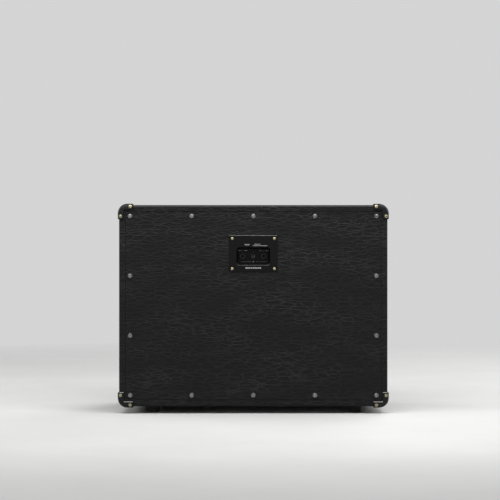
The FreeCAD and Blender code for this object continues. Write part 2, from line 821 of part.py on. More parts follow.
def baffle_span(shrink):
    """Half width, lowest and highest edge of the covered baffle, shrunk all round."""
    margin = BAFFLE_GAP + shrink
    return MOUTH_HALF_WIDTH - margin, MOUTH_BASE + margin, MOUTH_TOP - margin


def baffle_board():
    """The baffle with its two driver holes and the seats of the tee nuts."""
    board = tunnel(*baffle_span(CLOTH), BAFFLE_FRONT, BAFFLE_REAR)
    cutters = at_seats(shank_hole(BAFFLE_SCREW, 0), baffle_screw_seats())
    flange = TEE_NUT_FLANGE + FIT
    for centre in driver_centres().values():
        front = centre - Y * BAFFLE
        cutters.append(rod(CUTOUT_RADIUS, front - Y * OVERRUN, centre + Y * OVERRUN))
        for place in driver_bolt_places():
            axis = rear_point(centre, place)
            nut = axis - Y * BAFFLE
            cutters.append(rod(TEE_NUT_BARREL + FIT, nut - Y * OVERRUN, axis + Y * OVERRUN))
            cutters.append(rod(TEE_NUT_RADIUS + FIT, nut - Y * OVERRUN, nut + Y * flange))
    return board.cut(cutters)


def grille_cloth():
    """The cloth stretched over the baffle's face and edges."""
    outside = tunnel(*baffle_span(0), CLOTH_FACE, BAFFLE_REAR)
    inside = tunnel(*baffle_span(CLOTH), BAFFLE_FRONT, BAFFLE_REAR + OVERRUN)
    return outside.cut(inside)


def grille_piping():
    """One round piping that runs along the walls in front of the cloth."""
    inset = PIPING_RADIUS + FIT
    wide = 2 * (MOUTH_HALF_WIDTH - inset)
    tall = MOUTH_TOP - MOUTH_BASE - 2 * inset
    loop = rounded_rectangle(wide, tall, PIPING_BEND, 0)
    start = loop.OrderedEdges[0]
    middle = start.valueAt((start.FirstParameter + start.LastParameter) / 2)
    tangent = start.tangentAt((start.FirstParameter + start.LastParameter) / 2)
    section = Part.Wire(Part.makeCircle(PIPING_RADIUS, middle, tangent))
    piping = loop.makePipeShell([section], True, False)
    seat = Vector(0, CLOTH_FACE - PIPING_RADIUS, (MOUTH_BASE + MOUTH_TOP) / 2)
    return set_rear(piping, seat)


# Corner protectors and feet


def top_leg():
    """The region of the leg along the top rim: a bar with the edges that show eased."""
    vertex = CORNER_VERTEX
    bar = block(
        (vertex.x - CORNER_LEG, vertex.x + OVERRUN),
        (vertex.y - CORNER_FLANGE, vertex.y),
        (vertex.z - CORNER_FLANGE, vertex.z),
    )
    shown = []
    for edge in bar.Edges:
        on_rear = edge.BoundBox.YMin > vertex.y - FIT
        on_top = edge.BoundBox.ZMin > vertex.z - FIT
        if on_rear != on_top and edge.BoundBox.XMin < vertex.x:
            shown.append(edge)
    return bar.makeFillet(CORNER_EDGE_ROUND, shown)


def depth_leg():
    """The region of the leg along the cabinet's depth: a round-ended bar on the rounded edge."""
    half = CORNER_FLANGE / math.sqrt(2)
    deep = -CORNER_FLANGE - CORNER_SKIN
    far = CORNER_LEG - half
    bar = block((-OVERRUN, far), (-half, half), (deep, OVERRUN))
    end = rod(half, Vector(far, 0, deep), Vector(far, 0, OVERRUN))
    outward = (X + Z).normalize()
    return set_in(bar.fuse(end), CORNER_VERTEX, -Y, outward.cross(-Y))


def corner_protector():
    """The rear, top, right protector: a skin over three legs that meet in a web."""
    top = top_leg()
    side = top.mirror(CORNER_VERTEX, (X - Z).normalize())
    region = Part.makeSphere(CORNER_WEB, CORNER_VERTEX).fuse([top, side, depth_leg()])
    skin = rounded_case(CORNER_SKIN).common(region).cut(rounded_case(0))
    return skin.cut(at_seats(screw_hole(CORNER_SCREW, CORNER_SKIN), corner_screw_seats()))


def rubber_foot():
    """A tapered foot with a well for its screw and washer."""
    outline = [(0, 0), (FOOT_BASE_RADIUS, 0), (FOOT_TOP_RADIUS, FOOT_HEIGHT), (0, FOOT_HEIGHT)]
    foot = turned(outline)
    base_edges = [edge for edge in foot.Edges if edge.BoundBox.ZMax < FOOT_HEIGHT / 2]
    round_edges = [edge for edge in base_edges if edge.BoundBox.XLength > FOOT_BASE_RADIUS]
    foot = foot.makeFillet(FOOT_EDGE_ROUND, round_edges)
    well = rod(FOOT_WASHER_RADIUS + FOOT_WELL_ROOM, -Z * OVERRUN, Z * FOOT_WELL_DEPTH)
    hole = rod(FOOT_SCREW_SHANK + FIT, Z * 0, Z * (FOOT_HEIGHT + OVERRUN))
    return foot.cut([well, hole])


def foot_washer():
    low = FOOT_SCREW_UNDER_HEAD
    disc = rod(FOOT_WASHER_RADIUS, Z * low, Z * FOOT_WELL_DEPTH)
    return disc.cut(rod(FOOT_SCREW_SHANK + FIT, Z * 0, Z * FOOT_HEIGHT))


# Side handles


def right_handle():
    """A moulded cup with a flange, and a grip across its upper half."""
    flange_length = HANDLE_LENGTH + 2 * HANDLE_FLANGE
    flange_height = HANDLE_HEIGHT + 2 * HANDLE_FLANGE
    face = HANDLE_FLANGE_THICKNESS
    flange = rounded_plate(flange_length, flange_height, HANDLE_CORNER, 0, face)
    rim = [edge for edge in flange.Edges if edge.BoundBox.ZMin > face / 2]
    flange = flange.makeFillet(HANDLE_FLANGE_ROUND, rim)
    flange = flange.cut(at_seats(screw_hole(HANDLE_SCREW, OVERRUN), handle_screw_seats()))
    wall = 2 * HANDLE_WALL
    cup = tapered_pocket(
        HANDLE_LENGTH + wall,
        HANDLE_HEIGHT + wall,
        HANDLE_CORNER + HANDLE_WALL,
        HANDLE_TAPER,
        face / 2,
        -HANDLE_DEPTH - HANDLE_WALL,
    )
    hollow = tapered_pocket(
        HANDLE_LENGTH, HANDLE_HEIGHT, HANDLE_CORNER, HANDLE_TAPER, face, -HANDLE_DEPTH
    )
    grip = block(
        (-HANDLE_LENGTH / 2 - HANDLE_WALL / 2, HANDLE_LENGTH / 2 + HANDLE_WALL / 2),
        (GRIP_RISE - GRIP_HEIGHT / 2, GRIP_RISE + GRIP_HEIGHT / 2),
        (face - GRIP_THICKNESS, face),
    )
    lengthwise = [edge for edge in grip.Edges if edge.BoundBox.XLength > HANDLE_LENGTH / 2]
    grip = grip.makeFillet(GRIP_ROUND, lengthwise)
    outer = flange.fuse(cup)
    bar = grip.common(outer)
    shell = outer.cut(hollow).removeSplitter()
    lip = [edge for edge in shell.Edges if is_handle_lip(edge)]
    return set_right(shell.makeFillet(HANDLE_LIP, lip).fuse(bar))


def is_handle_lip(edge):
    """True for the edges where the handle's flange turns down into its cup."""
    box = edge.BoundBox
    on_face = box.ZMin > HANDLE_FLANGE_THICKNESS - FIT
    inside_x = max(abs(box.XMin), abs(box.XMax)) < HANDLE_LENGTH / 2 + HANDLE_WALL
    inside_y = max(abs(box.YMin), abs(box.YMax)) < HANDLE_HEIGHT / 2 + HANDLE_WALL
    return on_face and inside_x and inside_y


# Jack plate, jacks and switch, drawn in the plate's rear frame


def jack_plate():
    """The pressed plate: flange, pan, and the holes in both."""
    flange = rounded_plate(PLATE_WIDTH, PLATE_HEIGHT, PLATE_CORNER, 0, PLATE)
    rim = [edge for edge in flange.Edges if edge.BoundBox.ZMin > PLATE / 2]
    flange = flange.makeFillet(PLATE_EDGE_ROUND, rim)
    pan = tapered_pocket(
        PAN_WIDTH + 2 * PLATE,
        PAN_HEIGHT + 2 * PLATE,
        PAN_CORNER + PLATE,
        PAN_TAPER,
        PLATE / 2,
        -PAN_DEPTH,
        -PAN_DROP,
    )
    hollow = tapered_pocket(
        PAN_WIDTH, PAN_HEIGHT, PAN_CORNER, PAN_TAPER, PLATE, PLATE - PAN_DEPTH, -PAN_DROP
    )
    plate = flange.fuse(pan).cut(hollow).removeSplitter()
    lip = [edge for edge in plate.Edges if is_pan_lip(edge)]
    plate = plate.makeFillet(PAN_LIP, lip)
    slot_half_x = SLIDER_WIDTH / 2 + RUNNING_GAP
    slot_half_y = (SLIDER_HEIGHT + SLIDER_TRAVEL) / 2 + RUNNING_GAP
    below = -PAN_DEPTH - OVERRUN
    above = PLATE - PAN_DEPTH + OVERRUN
    cutters = [
        block(
            (-slot_half_x, slot_half_x),
            (-PAN_DROP - slot_half_y, slot_half_y - PAN_DROP),
            (below, above),
        )
    ]
    for x in JACK_PLACES.values():
        cutters.append(rod(JACK_BUSH + FIT, Vector(x, -PAN_DROP, below), Vector(x, -PAN_DROP, above)))
    cutters += at_seats(shank_hole(SWITCH_SCREW, OVERRUN), switch_screw_seats())
    placed = set_rear(plate.cut(cutters), PLATE_CENTRE)
    return placed.cut(at_seats(shank_hole(PLATE_SCREW, OVERRUN), plate_screw_seats()))


def is_pan_lip(edge):
    """True for the edges where the plate's face turns down into the pan."""
    box = edge.BoundBox
    on_face = box.ZMin > PLATE - FIT
    inside_x = max(abs(box.XMin), abs(box.XMax)) < PAN_WIDTH / 2 + PLATE
    inside_y = max(abs(box.YMin + PAN_DROP), abs(box.YMax + PAN_DROP)) < PAN_HEIGHT / 2 + PLATE
    return on_face and inside_x and inside_y


def spring_root():
    """The place of a tip spring's rolled end, in a jack's own frame."""
    return Vector(0, TIP_SPRING_ROOT, JACK_END_WALL - JACK_LENGTH)


def jack_body():
    """A jack's housing in its own frame: threaded nose, bore, and a chamber for the spring."""
    half = JACK_WIDTH / 2
    nose_end = PLATE + JACK_NUT + JACK_BUSH_PROUD
    housing = block((-half, half), (-half, half), (-JACK_LENGTH, 0))
    nose = rod(JACK_BUSH, Z * 0, Z * nose_end)
    bore = rod(JACK_BORE, Z * (JACK_END_WALL - JACK_LENGTH), Z * (nose_end + OVERRUN))
    half_chamber = JACK_CHAMBER_WIDTH / 2
    chamber = block(
        (-half_chamber, half_chamber),
        (-JACK_CHAMBER_FLOOR, half + OVERRUN),
        (JACK_END_WALL - JACK_LENGTH, -JACK_NOSE),
    )
    root = spring_root()
    half_bead = TIP_SPRING_WIDTH / 2 + RUNNING_GAP
    groove = rod(TIP_SPRING_BEAD + FIT, root - X * half_bead, root + X * half_bead)
    return housing.fuse(nose).cut([bore, chamber, groove])


def tip_spring():
    """The sprung tip contact: a rolled end in the housing and a bent blade over the bore."""
    half = TIP_SPRING_WIDTH / 2
    root = spring_root()
    bead = rod(TIP_SPRING_BEAD, root - X * half, root + X * half)
    under = [
        (root.z, root.y - TIP_SPRING / 2),
        (root.z + TIP_SPRING_REACH, TIP_SPRING_CONTACT),
        (root.z + TIP_SPRING_TOE_REACH, TIP_SPRING_TOE),
    ]
    over = [(z, y + TIP_SPRING) for z, y in reversed(under)]
    corners = [Vector(-half, y, z) for z, y in under + over]
    blade = Part.Face(Part.makePolygon(corners + corners[:1])).extrude(X * TIP_SPRING_WIDTH)
    return bead.fuse(blade)


def jack_lugs():
    """Two solder lugs at a jack's inner end."""
    end = -JACK_LENGTH
    lugs = []
    for x in (-LUG_SPACING / 2, LUG_SPACING / 2):
        lugs.append(
            block((x - LUG_WIDTH / 2, x + LUG_WIDTH / 2), (-LUG / 2, LUG / 2), (end - LUG_LENGTH, end))
        )
    return lugs


def jack_nut():
    """The hexagonal nut on a jack's nose, against the pan's floor, bevelled outside."""
    low = PLATE
    high = PLATE + JACK_NUT
    flat = JACK_NUT_ACROSS / 2
    corner = hexagon_radius(JACK_NUT_ACROSS)
    wide = corner + OVERRUN
    drop = JACK_NUT_BEVEL * (wide - flat) / (corner - flat)
    bevelled = [(0, low), (wide, low), (wide, high - drop), (flat, high), (0, high)]
    nut = hexagon(JACK_NUT_ACROSS, low, high).common(turned(bevelled))
    return nut.cut(rod(JACK_BUSH + FIT, Z * 0, Z * (high + OVERRUN)))


def jack_origin(side):
    """The place where a jack's nose leaves its housing, in cabinet coordinates."""
    return rear_point(PLATE_CENTRE, Vector(JACK_PLACES[side], -PAN_DROP, -PAN_DEPTH))


def switch_origin():
    return rear_point(PLATE_CENTRE, Vector(0, -PAN_DROP, -PAN_DEPTH))


def switch_body():
    """The switch's housing behind the pan, with a channel for the slider."""
    half_x = SWITCH_WIDTH / 2
    half_y = SWITCH_HEIGHT / 2
    channel_x = SLIDER_WIDTH / 2 + RUNNING_GAP
    channel_y = (SLIDER_HEIGHT + SLIDER_TRAVEL) / 2 + RUNNING_GAP
    housing = block((-half_x, half_x), (-half_y, half_y), (-SWITCH_DEPTH, 0))
    channel = block(
        (-channel_x, channel_x), (-channel_y, channel_y), (SWITCH_WALL - SWITCH_DEPTH, OVERRUN)
    )
    body = set_rear(housing.cut(channel), switch_origin())
    return body.cut(switch_screw_holes())


def switch_screw_holes():
    holes = at_seats(shank_hole(SWITCH_SCREW, OVERRUN), switch_screw_seats())
    return [set_rear(hole, PLATE_CENTRE) for hole in holes]


def switch_slider():
    """The slider at the lower end of its travel, with finger grooves across it."""
    half_x = SLIDER_WIDTH / 2
    middle = -SLIDER_TRAVEL / 2
    low = SWITCH_WALL - SWITCH_DEPTH + FIT
    face = PLATE + SLIDER_PROUD
    slider = block(
        (-half_x, half_x),
        (middle - SLIDER_HEIGHT / 2, middle + SLIDER_HEIGHT / 2),
        (low, face),
    )
    pitch = SLIDER_HEIGHT / (SLIDER_GROOVES + 1)
    grooves = []
    for i in range(SLIDER_GROOVES):
        y = middle - SLIDER_HEIGHT / 2 + (i + 1) * pitch
        start = Vector(-half_x - OVERRUN, y, face)
        end = Vector(half_x + OVERRUN, y, face)
        grooves.append(rod(SLIDER_GROOVE, start, end))
    return set_rear(slider.cut(grooves), switch_origin())


# Drivers, drawn in their rear frame with zero on the baffle


FLANGE_FRONT = GASKET
SURROUND_SEAT = FLANGE_FRONT + SURROUND_SEAT_DEPTH
SPIDER_SEAT = FLANGE_FRONT + SPIDER_SEAT_DEPTH
SPIDER_SEAT_INNER = SPIDER_SEAT_RADIUS - SPIDER_SEAT_WIDTH
BASKET_BASE = SPIDER_SEAT + BASKET_CUP_DEPTH
BASKET_BASE_RADIUS = SPIDER_SEAT_INNER - BASKET_CUP_TAPER
TOP_PLATE_FRONT = BASKET_BASE + SHEET
MAGNET_FRONT = TOP_PLATE_FRONT + TOP_PLATE
YOKE_FRONT = MAGNET_FRONT + MAGNET
FORMER_INNER = POLE_RADIUS + COIL_GAP
FORMER_OUTER = FORMER_INNER + FORMER
COIL_OUTER = FORMER_OUTER + WINDING
CONE_NECK_RADIUS = FORMER_OUTER + GLUE_LINE
CONE_FRONT = SURROUND_SEAT
CONE_COLLAR_END = SPIDER_SEAT - SPIDER - SPIDER_ROLL - CONE_TO_SPIDER
CONE_NECK_DEPTH = CONE_COLLAR_END - CONE_NECK - CONE_PAPER


def basket():
    """The pressed basket: flange, surround seat, windowed wall, spider seat and base."""
    front = [
        (DRIVER_RADIUS, FLANGE_FRONT),
        (RIM_RADIUS, FLANGE_FRONT),
        (RIM_RADIUS - SHEET, SURROUND_SEAT),
        (SURROUND_SEAT_RADIUS, SURROUND_SEAT),
        (SPIDER_SEAT_RADIUS, SPIDER_SEAT),
        (SPIDER_SEAT_INNER, SPIDER_SEAT),
        (BASKET_BASE_RADIUS, BASKET_BASE),
        (BASKET_BORE, BASKET_BASE),
    ]
    back = [(radius + SHEET, depth + SHEET) for radius, depth in front[1:-1]]
    ends = [(BASKET_BORE, BASKET_BASE + SHEET), (DRIVER_RADIUS, FLANGE_FRONT + SHEET)]
    body = turned(front + ends[:1] + back[::-1] + ends[1:])
    bolt_holes = []
    for place in driver_bolt_places():
        start = place + Z * (FLANGE_FRONT - OVERRUN)
        bolt_holes.append(rod(BOLT_SHANK + BOLT_CLEARANCE, start, start + Z * (SHEET + 2 * OVERRUN)))
    return body.cut(bolt_holes)


def wall_point(share):
    """A point of the basket's sloping wall, as (radius, depth) of its front side."""
    radius = SURROUND_SEAT_RADIUS + share * (SPIDER_SEAT_RADIUS - SURROUND_SEAT_RADIUS)
    depth = SURROUND_SEAT + share * (SPIDER_SEAT - SURROUND_SEAT)
    return radius, depth


def basket_windows(web_angle):
    """Cutters for the wall's windows, with a web between two of them at the given angle."""
    upper = wall_point(WINDOW_START_SHARE)
    lower = wall_point(WINDOW_END_SHARE)
    reach = SHEET + OVERRUN
    outline = [(radius - reach, depth - reach) for radius, depth in (upper, lower)]
    outline += [(radius + 2 * reach, depth + 2 * reach) for radius, depth in (lower, upper)]
    pitch = FULL_TURN / WINDOW_COUNT
    width = pitch * WINDOW_SHARE
    window = turned(outline, width)
    first = web_angle + (pitch - width) / 2
    return [turned_about_z(window, first + i * pitch) for i in range(WINDOW_COUNT)]


def gasket():
    ring = rod(DRIVER_RADIUS, Z * 0, Z * GASKET).cut(rod(CUTOUT_RADIUS, Z * 0, Z * GASKET))
    holes = [rod(BOLT_SHANK + BOLT_CLEARANCE, place, place + Z * GASKET) for place in driver_bolt_places()]
    return ring.cut(holes)


def bolt():
    """A driver bolt, drawn with its shank's start at the baffle's rear face."""
    under_head = FLANGE_FRONT + SHEET
    head = hexagon(2 * BOLT_HEAD, under_head, under_head + BOLT_HEAD_HEIGHT)
    return head.fuse(rod(BOLT_SHANK, Z * (TEE_NUT_FLANGE - BAFFLE), Z * under_head))


def tee_nut():
    """A tee nut let into the front of the baffle."""
    face = -BAFFLE
    flange = rod(TEE_NUT_RADIUS, Z * face, Z * (face + TEE_NUT_FLANGE))
    barrel = rod(TEE_NUT_BARREL, Z * face, Z * (face + TEE_NUT_LENGTH))
    return flange.fuse(barrel).cut(rod(BOLT_SHANK + FIT, Z * (face - OVERRUN), Z * 0))


def washer_ring(outer, inner, low, high):
    """A flat ring about Z."""
    return turned([(inner, low), (outer, low), (outer, high), (inner, high)])


def yoke():
    """The back plate with its vented pole, in one piece."""
    rear = YOKE_FRONT + YOKE
    outline = [(POLE_VENT, TOP_PLATE_FRONT), (POLE_RADIUS, TOP_PLATE_FRONT), (POLE_RADIUS, YOKE_FRONT)]
    outline += [(YOKE_RADIUS, YOKE_FRONT), (YOKE_RADIUS, rear), (POLE_VENT, rear)]
    return turned(outline)


def cone():
    """The paper cone: a flat rim, a bowed flare and a collar on the coil's former."""
    neck = CONE_NECK_RADIUS + CONE_COLLAR
    flare = [(CONE_RADIUS, CONE_FRONT, 0), (CONE_RADIUS - CONE_RIM, CONE_FRONT, 0)]
    flare += [(neck, CONE_NECK_DEPTH, -CONE_BOW), (CONE_NECK_RADIUS, CONE_NECK_DEPTH, 0)]
    collar = washer_ring(neck, CONE_NECK_RADIUS, CONE_NECK_DEPTH, CONE_COLLAR_END)
    return turned_ribbon(flare, CONE_PAPER).fuse(collar)


def dust_cap():
    """The domed cap glued to the cone's front."""
    seat = cone_front_at(DUST_CAP_RADIUS) - GLUE_LINE - DUST_CAP
    half_span = DUST_CAP_RADIUS
    sphere = (half_span**2 + DUST_CAP_RISE**2) / (2 * DUST_CAP_RISE)
    half_angle = math.asin(half_span / sphere) / 2
    shoulder = Vector(
        sphere * math.sin(half_angle), 0, seat - DUST_CAP_RISE + sphere * (1 - math.cos(half_angle))
    )
    crown = Vector(0, 0, seat - DUST_CAP_RISE)
    rim = Vector(DUST_CAP_RADIUS, 0, seat)
    thick = Z * DUST_CAP
    edges = [
        Part.Arc(crown, shoulder, rim).toShape(),
        Part.makeLine(rim, rim + thick),
        Part.Arc(rim + thick, shoulder + thick, crown + thick).toShape(),
        Part.makeLine(crown + thick, crown),
    ]
    return Part.Face(Part.Wire(edges)).revolve(ORIGIN, Z, FULL_TURN)


def cone_front_at(radius):
    """Depth of the flare's front side at a radius, from the arc that draws it."""
    neck = CONE_NECK_RADIUS + CONE_COLLAR
    rim = CONE_RADIUS - CONE_RIM
    start = Vector(rim, 0, CONE_FRONT)
    end = Vector(neck, 0, CONE_NECK_DEPTH)
    flare = bowed_edge(start, end, -CONE_BOW)
    upright = Part.makeLine(Vector(radius, 0, CONE_FRONT - rim), Vector(radius, 0, CONE_NECK_DEPTH + rim))
    return flare.distToShape(upright)[1][0][0].z


def voice_coil():
    """The coil: a thin former and the winding on it, centred in the gap."""
    middle = TOP_PLATE_FRONT + TOP_PLATE / 2
    tail = middle + WINDING_LENGTH / 2 + FORMER_TAIL
    former = washer_ring(FORMER_OUTER, FORMER_INNER, CONE_NECK_DEPTH, tail)
    winding = washer_ring(
        COIL_OUTER, FORMER_OUTER, middle - WINDING_LENGTH / 2, middle + WINDING_LENGTH / 2
    )
    return [former, winding]


def surround():
    """The rolled edge between the basket's seat and the cone's rim."""
    outer = RIM_RADIUS - SHEET - RUNNING_GAP
    inner = CONE_RADIUS - CONE_RIM
    front = SURROUND_SEAT - SURROUND
    stations = [(outer, front, 0), (SURROUND_SEAT_RADIUS, front, 0)]
    roll = (SURROUND_SEAT_RADIUS - CONE_RADIUS) / SURROUND_ROLLS
    for i in range(SURROUND_ROLLS):
        stations.append((SURROUND_SEAT_RADIUS - (i + 1) * roll, front, SURROUND_ROLL))
    stations.append((inner, front, 0))
    return turned_ribbon(stations, SURROUND)


def spider():
    """The corrugated disc that centres the coil."""
    collar = CONE_NECK_RADIUS + SPIDER_COLLAR
    front = SPIDER_SEAT - SPIDER
    stations = [(SPIDER_SEAT_RADIUS - RUNNING_GAP, front, 0), (SPIDER_SEAT_INNER, front, 0)]
    roll = (SPIDER_SEAT_INNER - collar) / SPIDER_ROLLS
    for i in range(SPIDER_ROLLS):
        bow = SPIDER_ROLL if i % 2 == 0 else -SPIDER_ROLL
        stations.append((SPIDER_SEAT_INNER - (i + 1) * roll, front, bow))
    stations.append((CONE_NECK_RADIUS, front, 0))
    return turned_ribbon(stations, SPIDER)


# Terminal strip and wires


def terminal_frame(side):
    """Middle of a driver's terminal strip with its outward and sideways directions."""
    centre = driver_centres()[side]
    angle = math.radians(TERMINAL_ANGLES[side])
    radial = Vector(-math.cos(angle), 0, math.sin(angle))
    start_radius, start_depth = wall_point(0)
    end_radius, end_depth = wall_point(1)
    radius, depth = wall_point(0.5)
    down_wall = (radial * (end_radius - start_radius) + Y * (end_depth - start_depth)).normalize()
    sideways = radial.cross(Y)
    outward = sideways.cross(down_wall)
    if outward.dot(radial) < 0:
        outward = -outward
    seat = centre + radial * (radius + SHEET) + Y * (depth + SHEET) + outward * FIT
    return seat, outward, sideways


def terminal_strip(side):
    """The strip on the basket's web and its two tags."""
    seat, outward, sideways = terminal_frame(side)
    half_x = TERMINAL_WIDTH / 2
    half_y = TERMINAL_LENGTH / 2
    up = outward.cross(sideways)
    strip = block((-half_x, half_x), (-half_y, half_y), (0, TERMINAL))
    pieces = [set_in(strip, seat, sideways, up)]
    for x in (-TAG_SPACING / 2, TAG_SPACING / 2):
        tag = block(
            (x - LUG_WIDTH / 2, x + LUG_WIDTH / 2), (-LUG / 2, LUG / 2), (TERMINAL, TERMINAL + LUG_LENGTH)
        )
        pieces.append(set_in(tag, seat, sideways, up))
    return pieces


def wire_along(points):
    """A round wire of straight runs joined by arcs that touch them."""
    edges = []
    last = points[0]
    for before, corner, after in zip(points, points[1:], points[2:]):
        back = (before - corner).normalize()
        ahead = (after - corner).normalize()
        shorter = min((before - corner).Length, (after - corner).Length)
        cut = WIRE_ARC_SHARE * shorter
        turn = math.pi - back.getAngle(ahead)
        radius = cut / math.tan(turn / 2)
        bisector = (back + ahead).normalize()
        to_arc = math.hypot(radius, cut) - radius
        edges.append(Part.makeLine(last, corner + back * cut))
        crown = corner + bisector * to_arc
        edges.append(Part.Arc(corner + back * cut, crown, corner + ahead * cut).toShape())
        last = corner + ahead * cut
        print(f"wire bend radius {radius:.1f}")
    edges.append(Part.makeLine(last, points[-1]))
    path = Part.Wire(edges)
    section = Part.Wire(Part.makeCircle(WIRE_RADIUS, points[0], points[1] - points[0]))
    wire = path.makePipeShell([section], True, False)
    swept = math.pi * WIRE_RADIUS**2 * path.Length
    print(f"wire volume over section times length {wire.Volume / swept:.4f}")
    return wire


def speaker_wires(side):
    """Two wires from a driver's tags to the lugs of the jack nearer to it."""
    seat, outward, sideways = terminal_frame(side)
    jack = jack_origin(side)
    lug_end = jack - Y * (JACK_LENGTH + LUG_LENGTH)
    wires = []
    for sign in (-1, 1):
        tag_end = seat + outward * (TERMINAL + LUG_LENGTH) + sideways * (sign * TAG_SPACING / 2)
        lug_sign = sign if sideways.x > 0 else -sign
        end = lug_end + X * (lug_sign * LUG_SPACING / 2)
        leave = tag_end + outward * WIRE_LEAD
        arrive = end - Y * WIRE_LEAD
        middle = (leave + arrive) * 0.5 - Z * WIRE_SAG
        wires.append(wire_along([tag_end, leave, middle, arrive, end]))
    return wires


# Writing the pieces


def save(name, shapes):
    """Write one node as its separate solids."""
    solids = [solid for shape in shapes for solid in shape.Solids]
    node = solids[0] if len(solids) == 1 else Part.makeCompound(solids)
    if not node.isValid():
        raise ValueError(f"{name} isn't a valid solid")
    node.exportStep(f"parts/{name}.step")
    print(f"{name}: {len(solids)} solids, {node.Volume / 1000:.1f} cm3")


def save_shell():
    for name, board in shell_boards().items():
        save(name, [board])
    save("cabinet_vinyl", [cabinet_vinyl()])
    save("back_battens", back_battens())
    save("baffle_battens", baffle_battens())
    save("centre_post", [centre_post()])


def save_panels():
    save("back_board", [back_board()])
    save("back_panel_vinyl", [back_panel_vinyl()])
    save("back_panel_screws", at_seats(screw_body(PANEL_SCREW), panel_screw_seats()))
    save("back_panel_washers", at_seats(panel_washer(), panel_washer_seats()))
    save("baffle_board", [baffle_board()])
    save("baffle_screws", at_seats(screw_body(BAFFLE_SCREW), baffle_screw_seats()))
    save("grille_cloth", [grille_cloth()])
    save("grille_piping", [grille_piping()])


def save_hardware():
    rear, front = eight_corners([corner_protector()])
    save("rear_corners", rear)
    save("front_corners", front)
    rear, front = eight_corners(at_seats(screw_body(CORNER_SCREW), corner_screw_seats()))
    save("corner_screws", rear + front)
    upright = [(place, Z) for place in foot_places()]
    save("rubber_feet", at_seats(rubber_foot(), upright))
    save("foot_washers", at_seats(foot_washer(), upright))
    save("foot_screws", at_seats(screw_body(FOOT_SCREW), foot_screw_seats()))
    handle = right_handle()
    save("right_handle", [handle])
    save("left_handle", [mirrored_x(handle)])
    screws = [set_right(screw) for screw in at_seats(screw_body(HANDLE_SCREW), handle_screw_seats())]
    save("handle_screws", screws + [mirrored_x(screw) for screw in screws])


def save_jack_plate():
    save("jack_plate", [jack_plate()])
    save("jack_plate_screws", at_seats(screw_body(PLATE_SCREW), plate_screw_seats()))
    nuts = []
    lugs = []
    for side in JACK_PLACES:
        origin = jack_origin(side)
        save(f"{side}_jack", [set_rear(jack_body(), origin)])
        save(f"{side}_jack_tip_spring", [set_rear(tip_spring(), origin)])
        nuts.append(set_rear(jack_nut(), origin))
        lugs += [set_rear(lug, origin) for lug in jack_lugs()]
    save("jack_nuts", nuts)
    save("jack_lugs", lugs)
    save("switch_body", [switch_body()])
    save("switch_slider", [switch_slider()])
    screws = at_seats(screw_body(SWITCH_SCREW), switch_screw_seats())
    save("switch_screws", [set_rear(screw, PLATE_CENTRE) for screw in screws])


def save_drivers():
    gaskets = []
    bolts = []
    nuts = []
    terminals = []
    wires = []
    for side, centre in driver_centres().items():
        windows = basket_windows(TERMINAL_ANGLES[side])
        pieces = {
            "basket": [basket().cut(windows)],
            "top_plate": [
                washer_ring(TOP_PLATE_RADIUS, COIL_OUTER + COIL_GAP, TOP_PLATE_FRONT, MAGNET_FRONT)
            ],
            "magnet": [washer_ring(MAGNET_RADIUS, MAGNET_BORE, MAGNET_FRONT, YOKE_FRONT)],
            "yoke": [yoke()],
            "cone": [cone()],
            "dust_cap": [dust_cap()],
            "voice_coil": voice_coil(),
            "surround": [surround()],
            "spider": [spider()],
        }
        for name, shapes in pieces.items():
            save(f"{side}_{name}", [set_rear(shape, centre) for shape in shapes])
        gaskets.append(set_rear(gasket(), centre))
        for place in driver_bolt_places():
            foot = rear_point(centre, place)
            bolts.append(set_rear(bolt(), foot))
            nuts.append(set_rear(tee_nut(), foot))
        terminals += terminal_strip(side)
        wires += speaker_wires(side)
    save("driver_gaskets", gaskets)
    save("driver_bolts", bolts)
    save("driver_tee_nuts", nuts)
    save("driver_terminals", terminals)
    save("speaker_wires", wires)


def main():
    os.makedirs("parts", exist_ok=True)
    save_shell()
    save_panels()
    save_hardware()
    save_jack_plate()
    save_drivers()


main()
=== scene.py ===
# %% [markdown]
# # A closed-back guitar speaker cabinet, seen from behind
#
# Every board, screw and driver of this cabinet already exists as a solid at its real size, in a
# shared frame. This lesson dresses those solids: it gives each surface its finish, weaves the
# cloth on the front, softens the moulded corners, prints the jack plate, and sets the whole thing
# in a plain studio. All lengths are in metres. +X is to the right seen from the front, +Y points
# to the rear panel, and +Z is up.

# %% Load the frame
import math

import bmesh
import bpy
from mathutils import Matrix, Vector


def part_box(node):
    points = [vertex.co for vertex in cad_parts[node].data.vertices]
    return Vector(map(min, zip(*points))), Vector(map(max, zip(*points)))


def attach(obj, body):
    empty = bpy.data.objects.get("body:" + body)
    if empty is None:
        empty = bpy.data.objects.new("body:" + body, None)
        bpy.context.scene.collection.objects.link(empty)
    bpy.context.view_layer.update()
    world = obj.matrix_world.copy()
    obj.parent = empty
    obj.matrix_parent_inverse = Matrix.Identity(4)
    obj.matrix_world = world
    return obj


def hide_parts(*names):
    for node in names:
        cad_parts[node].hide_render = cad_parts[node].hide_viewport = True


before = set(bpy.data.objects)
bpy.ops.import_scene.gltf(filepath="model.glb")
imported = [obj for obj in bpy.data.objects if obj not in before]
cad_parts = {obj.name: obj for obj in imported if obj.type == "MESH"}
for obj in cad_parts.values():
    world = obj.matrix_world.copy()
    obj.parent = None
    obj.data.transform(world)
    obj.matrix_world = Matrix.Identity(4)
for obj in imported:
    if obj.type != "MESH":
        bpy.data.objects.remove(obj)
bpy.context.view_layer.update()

# %% [markdown]
# ## Camera
#
# The photo was taken from straight behind, with a long lens and the camera level. From far away
# the sides, top and bottom of a box hide behind its rear face, so the distance matters as much as
# the direction. The focal length is kept in pixels of the square photo, because that is how it
# was measured, and turned into a lens for the sensor.

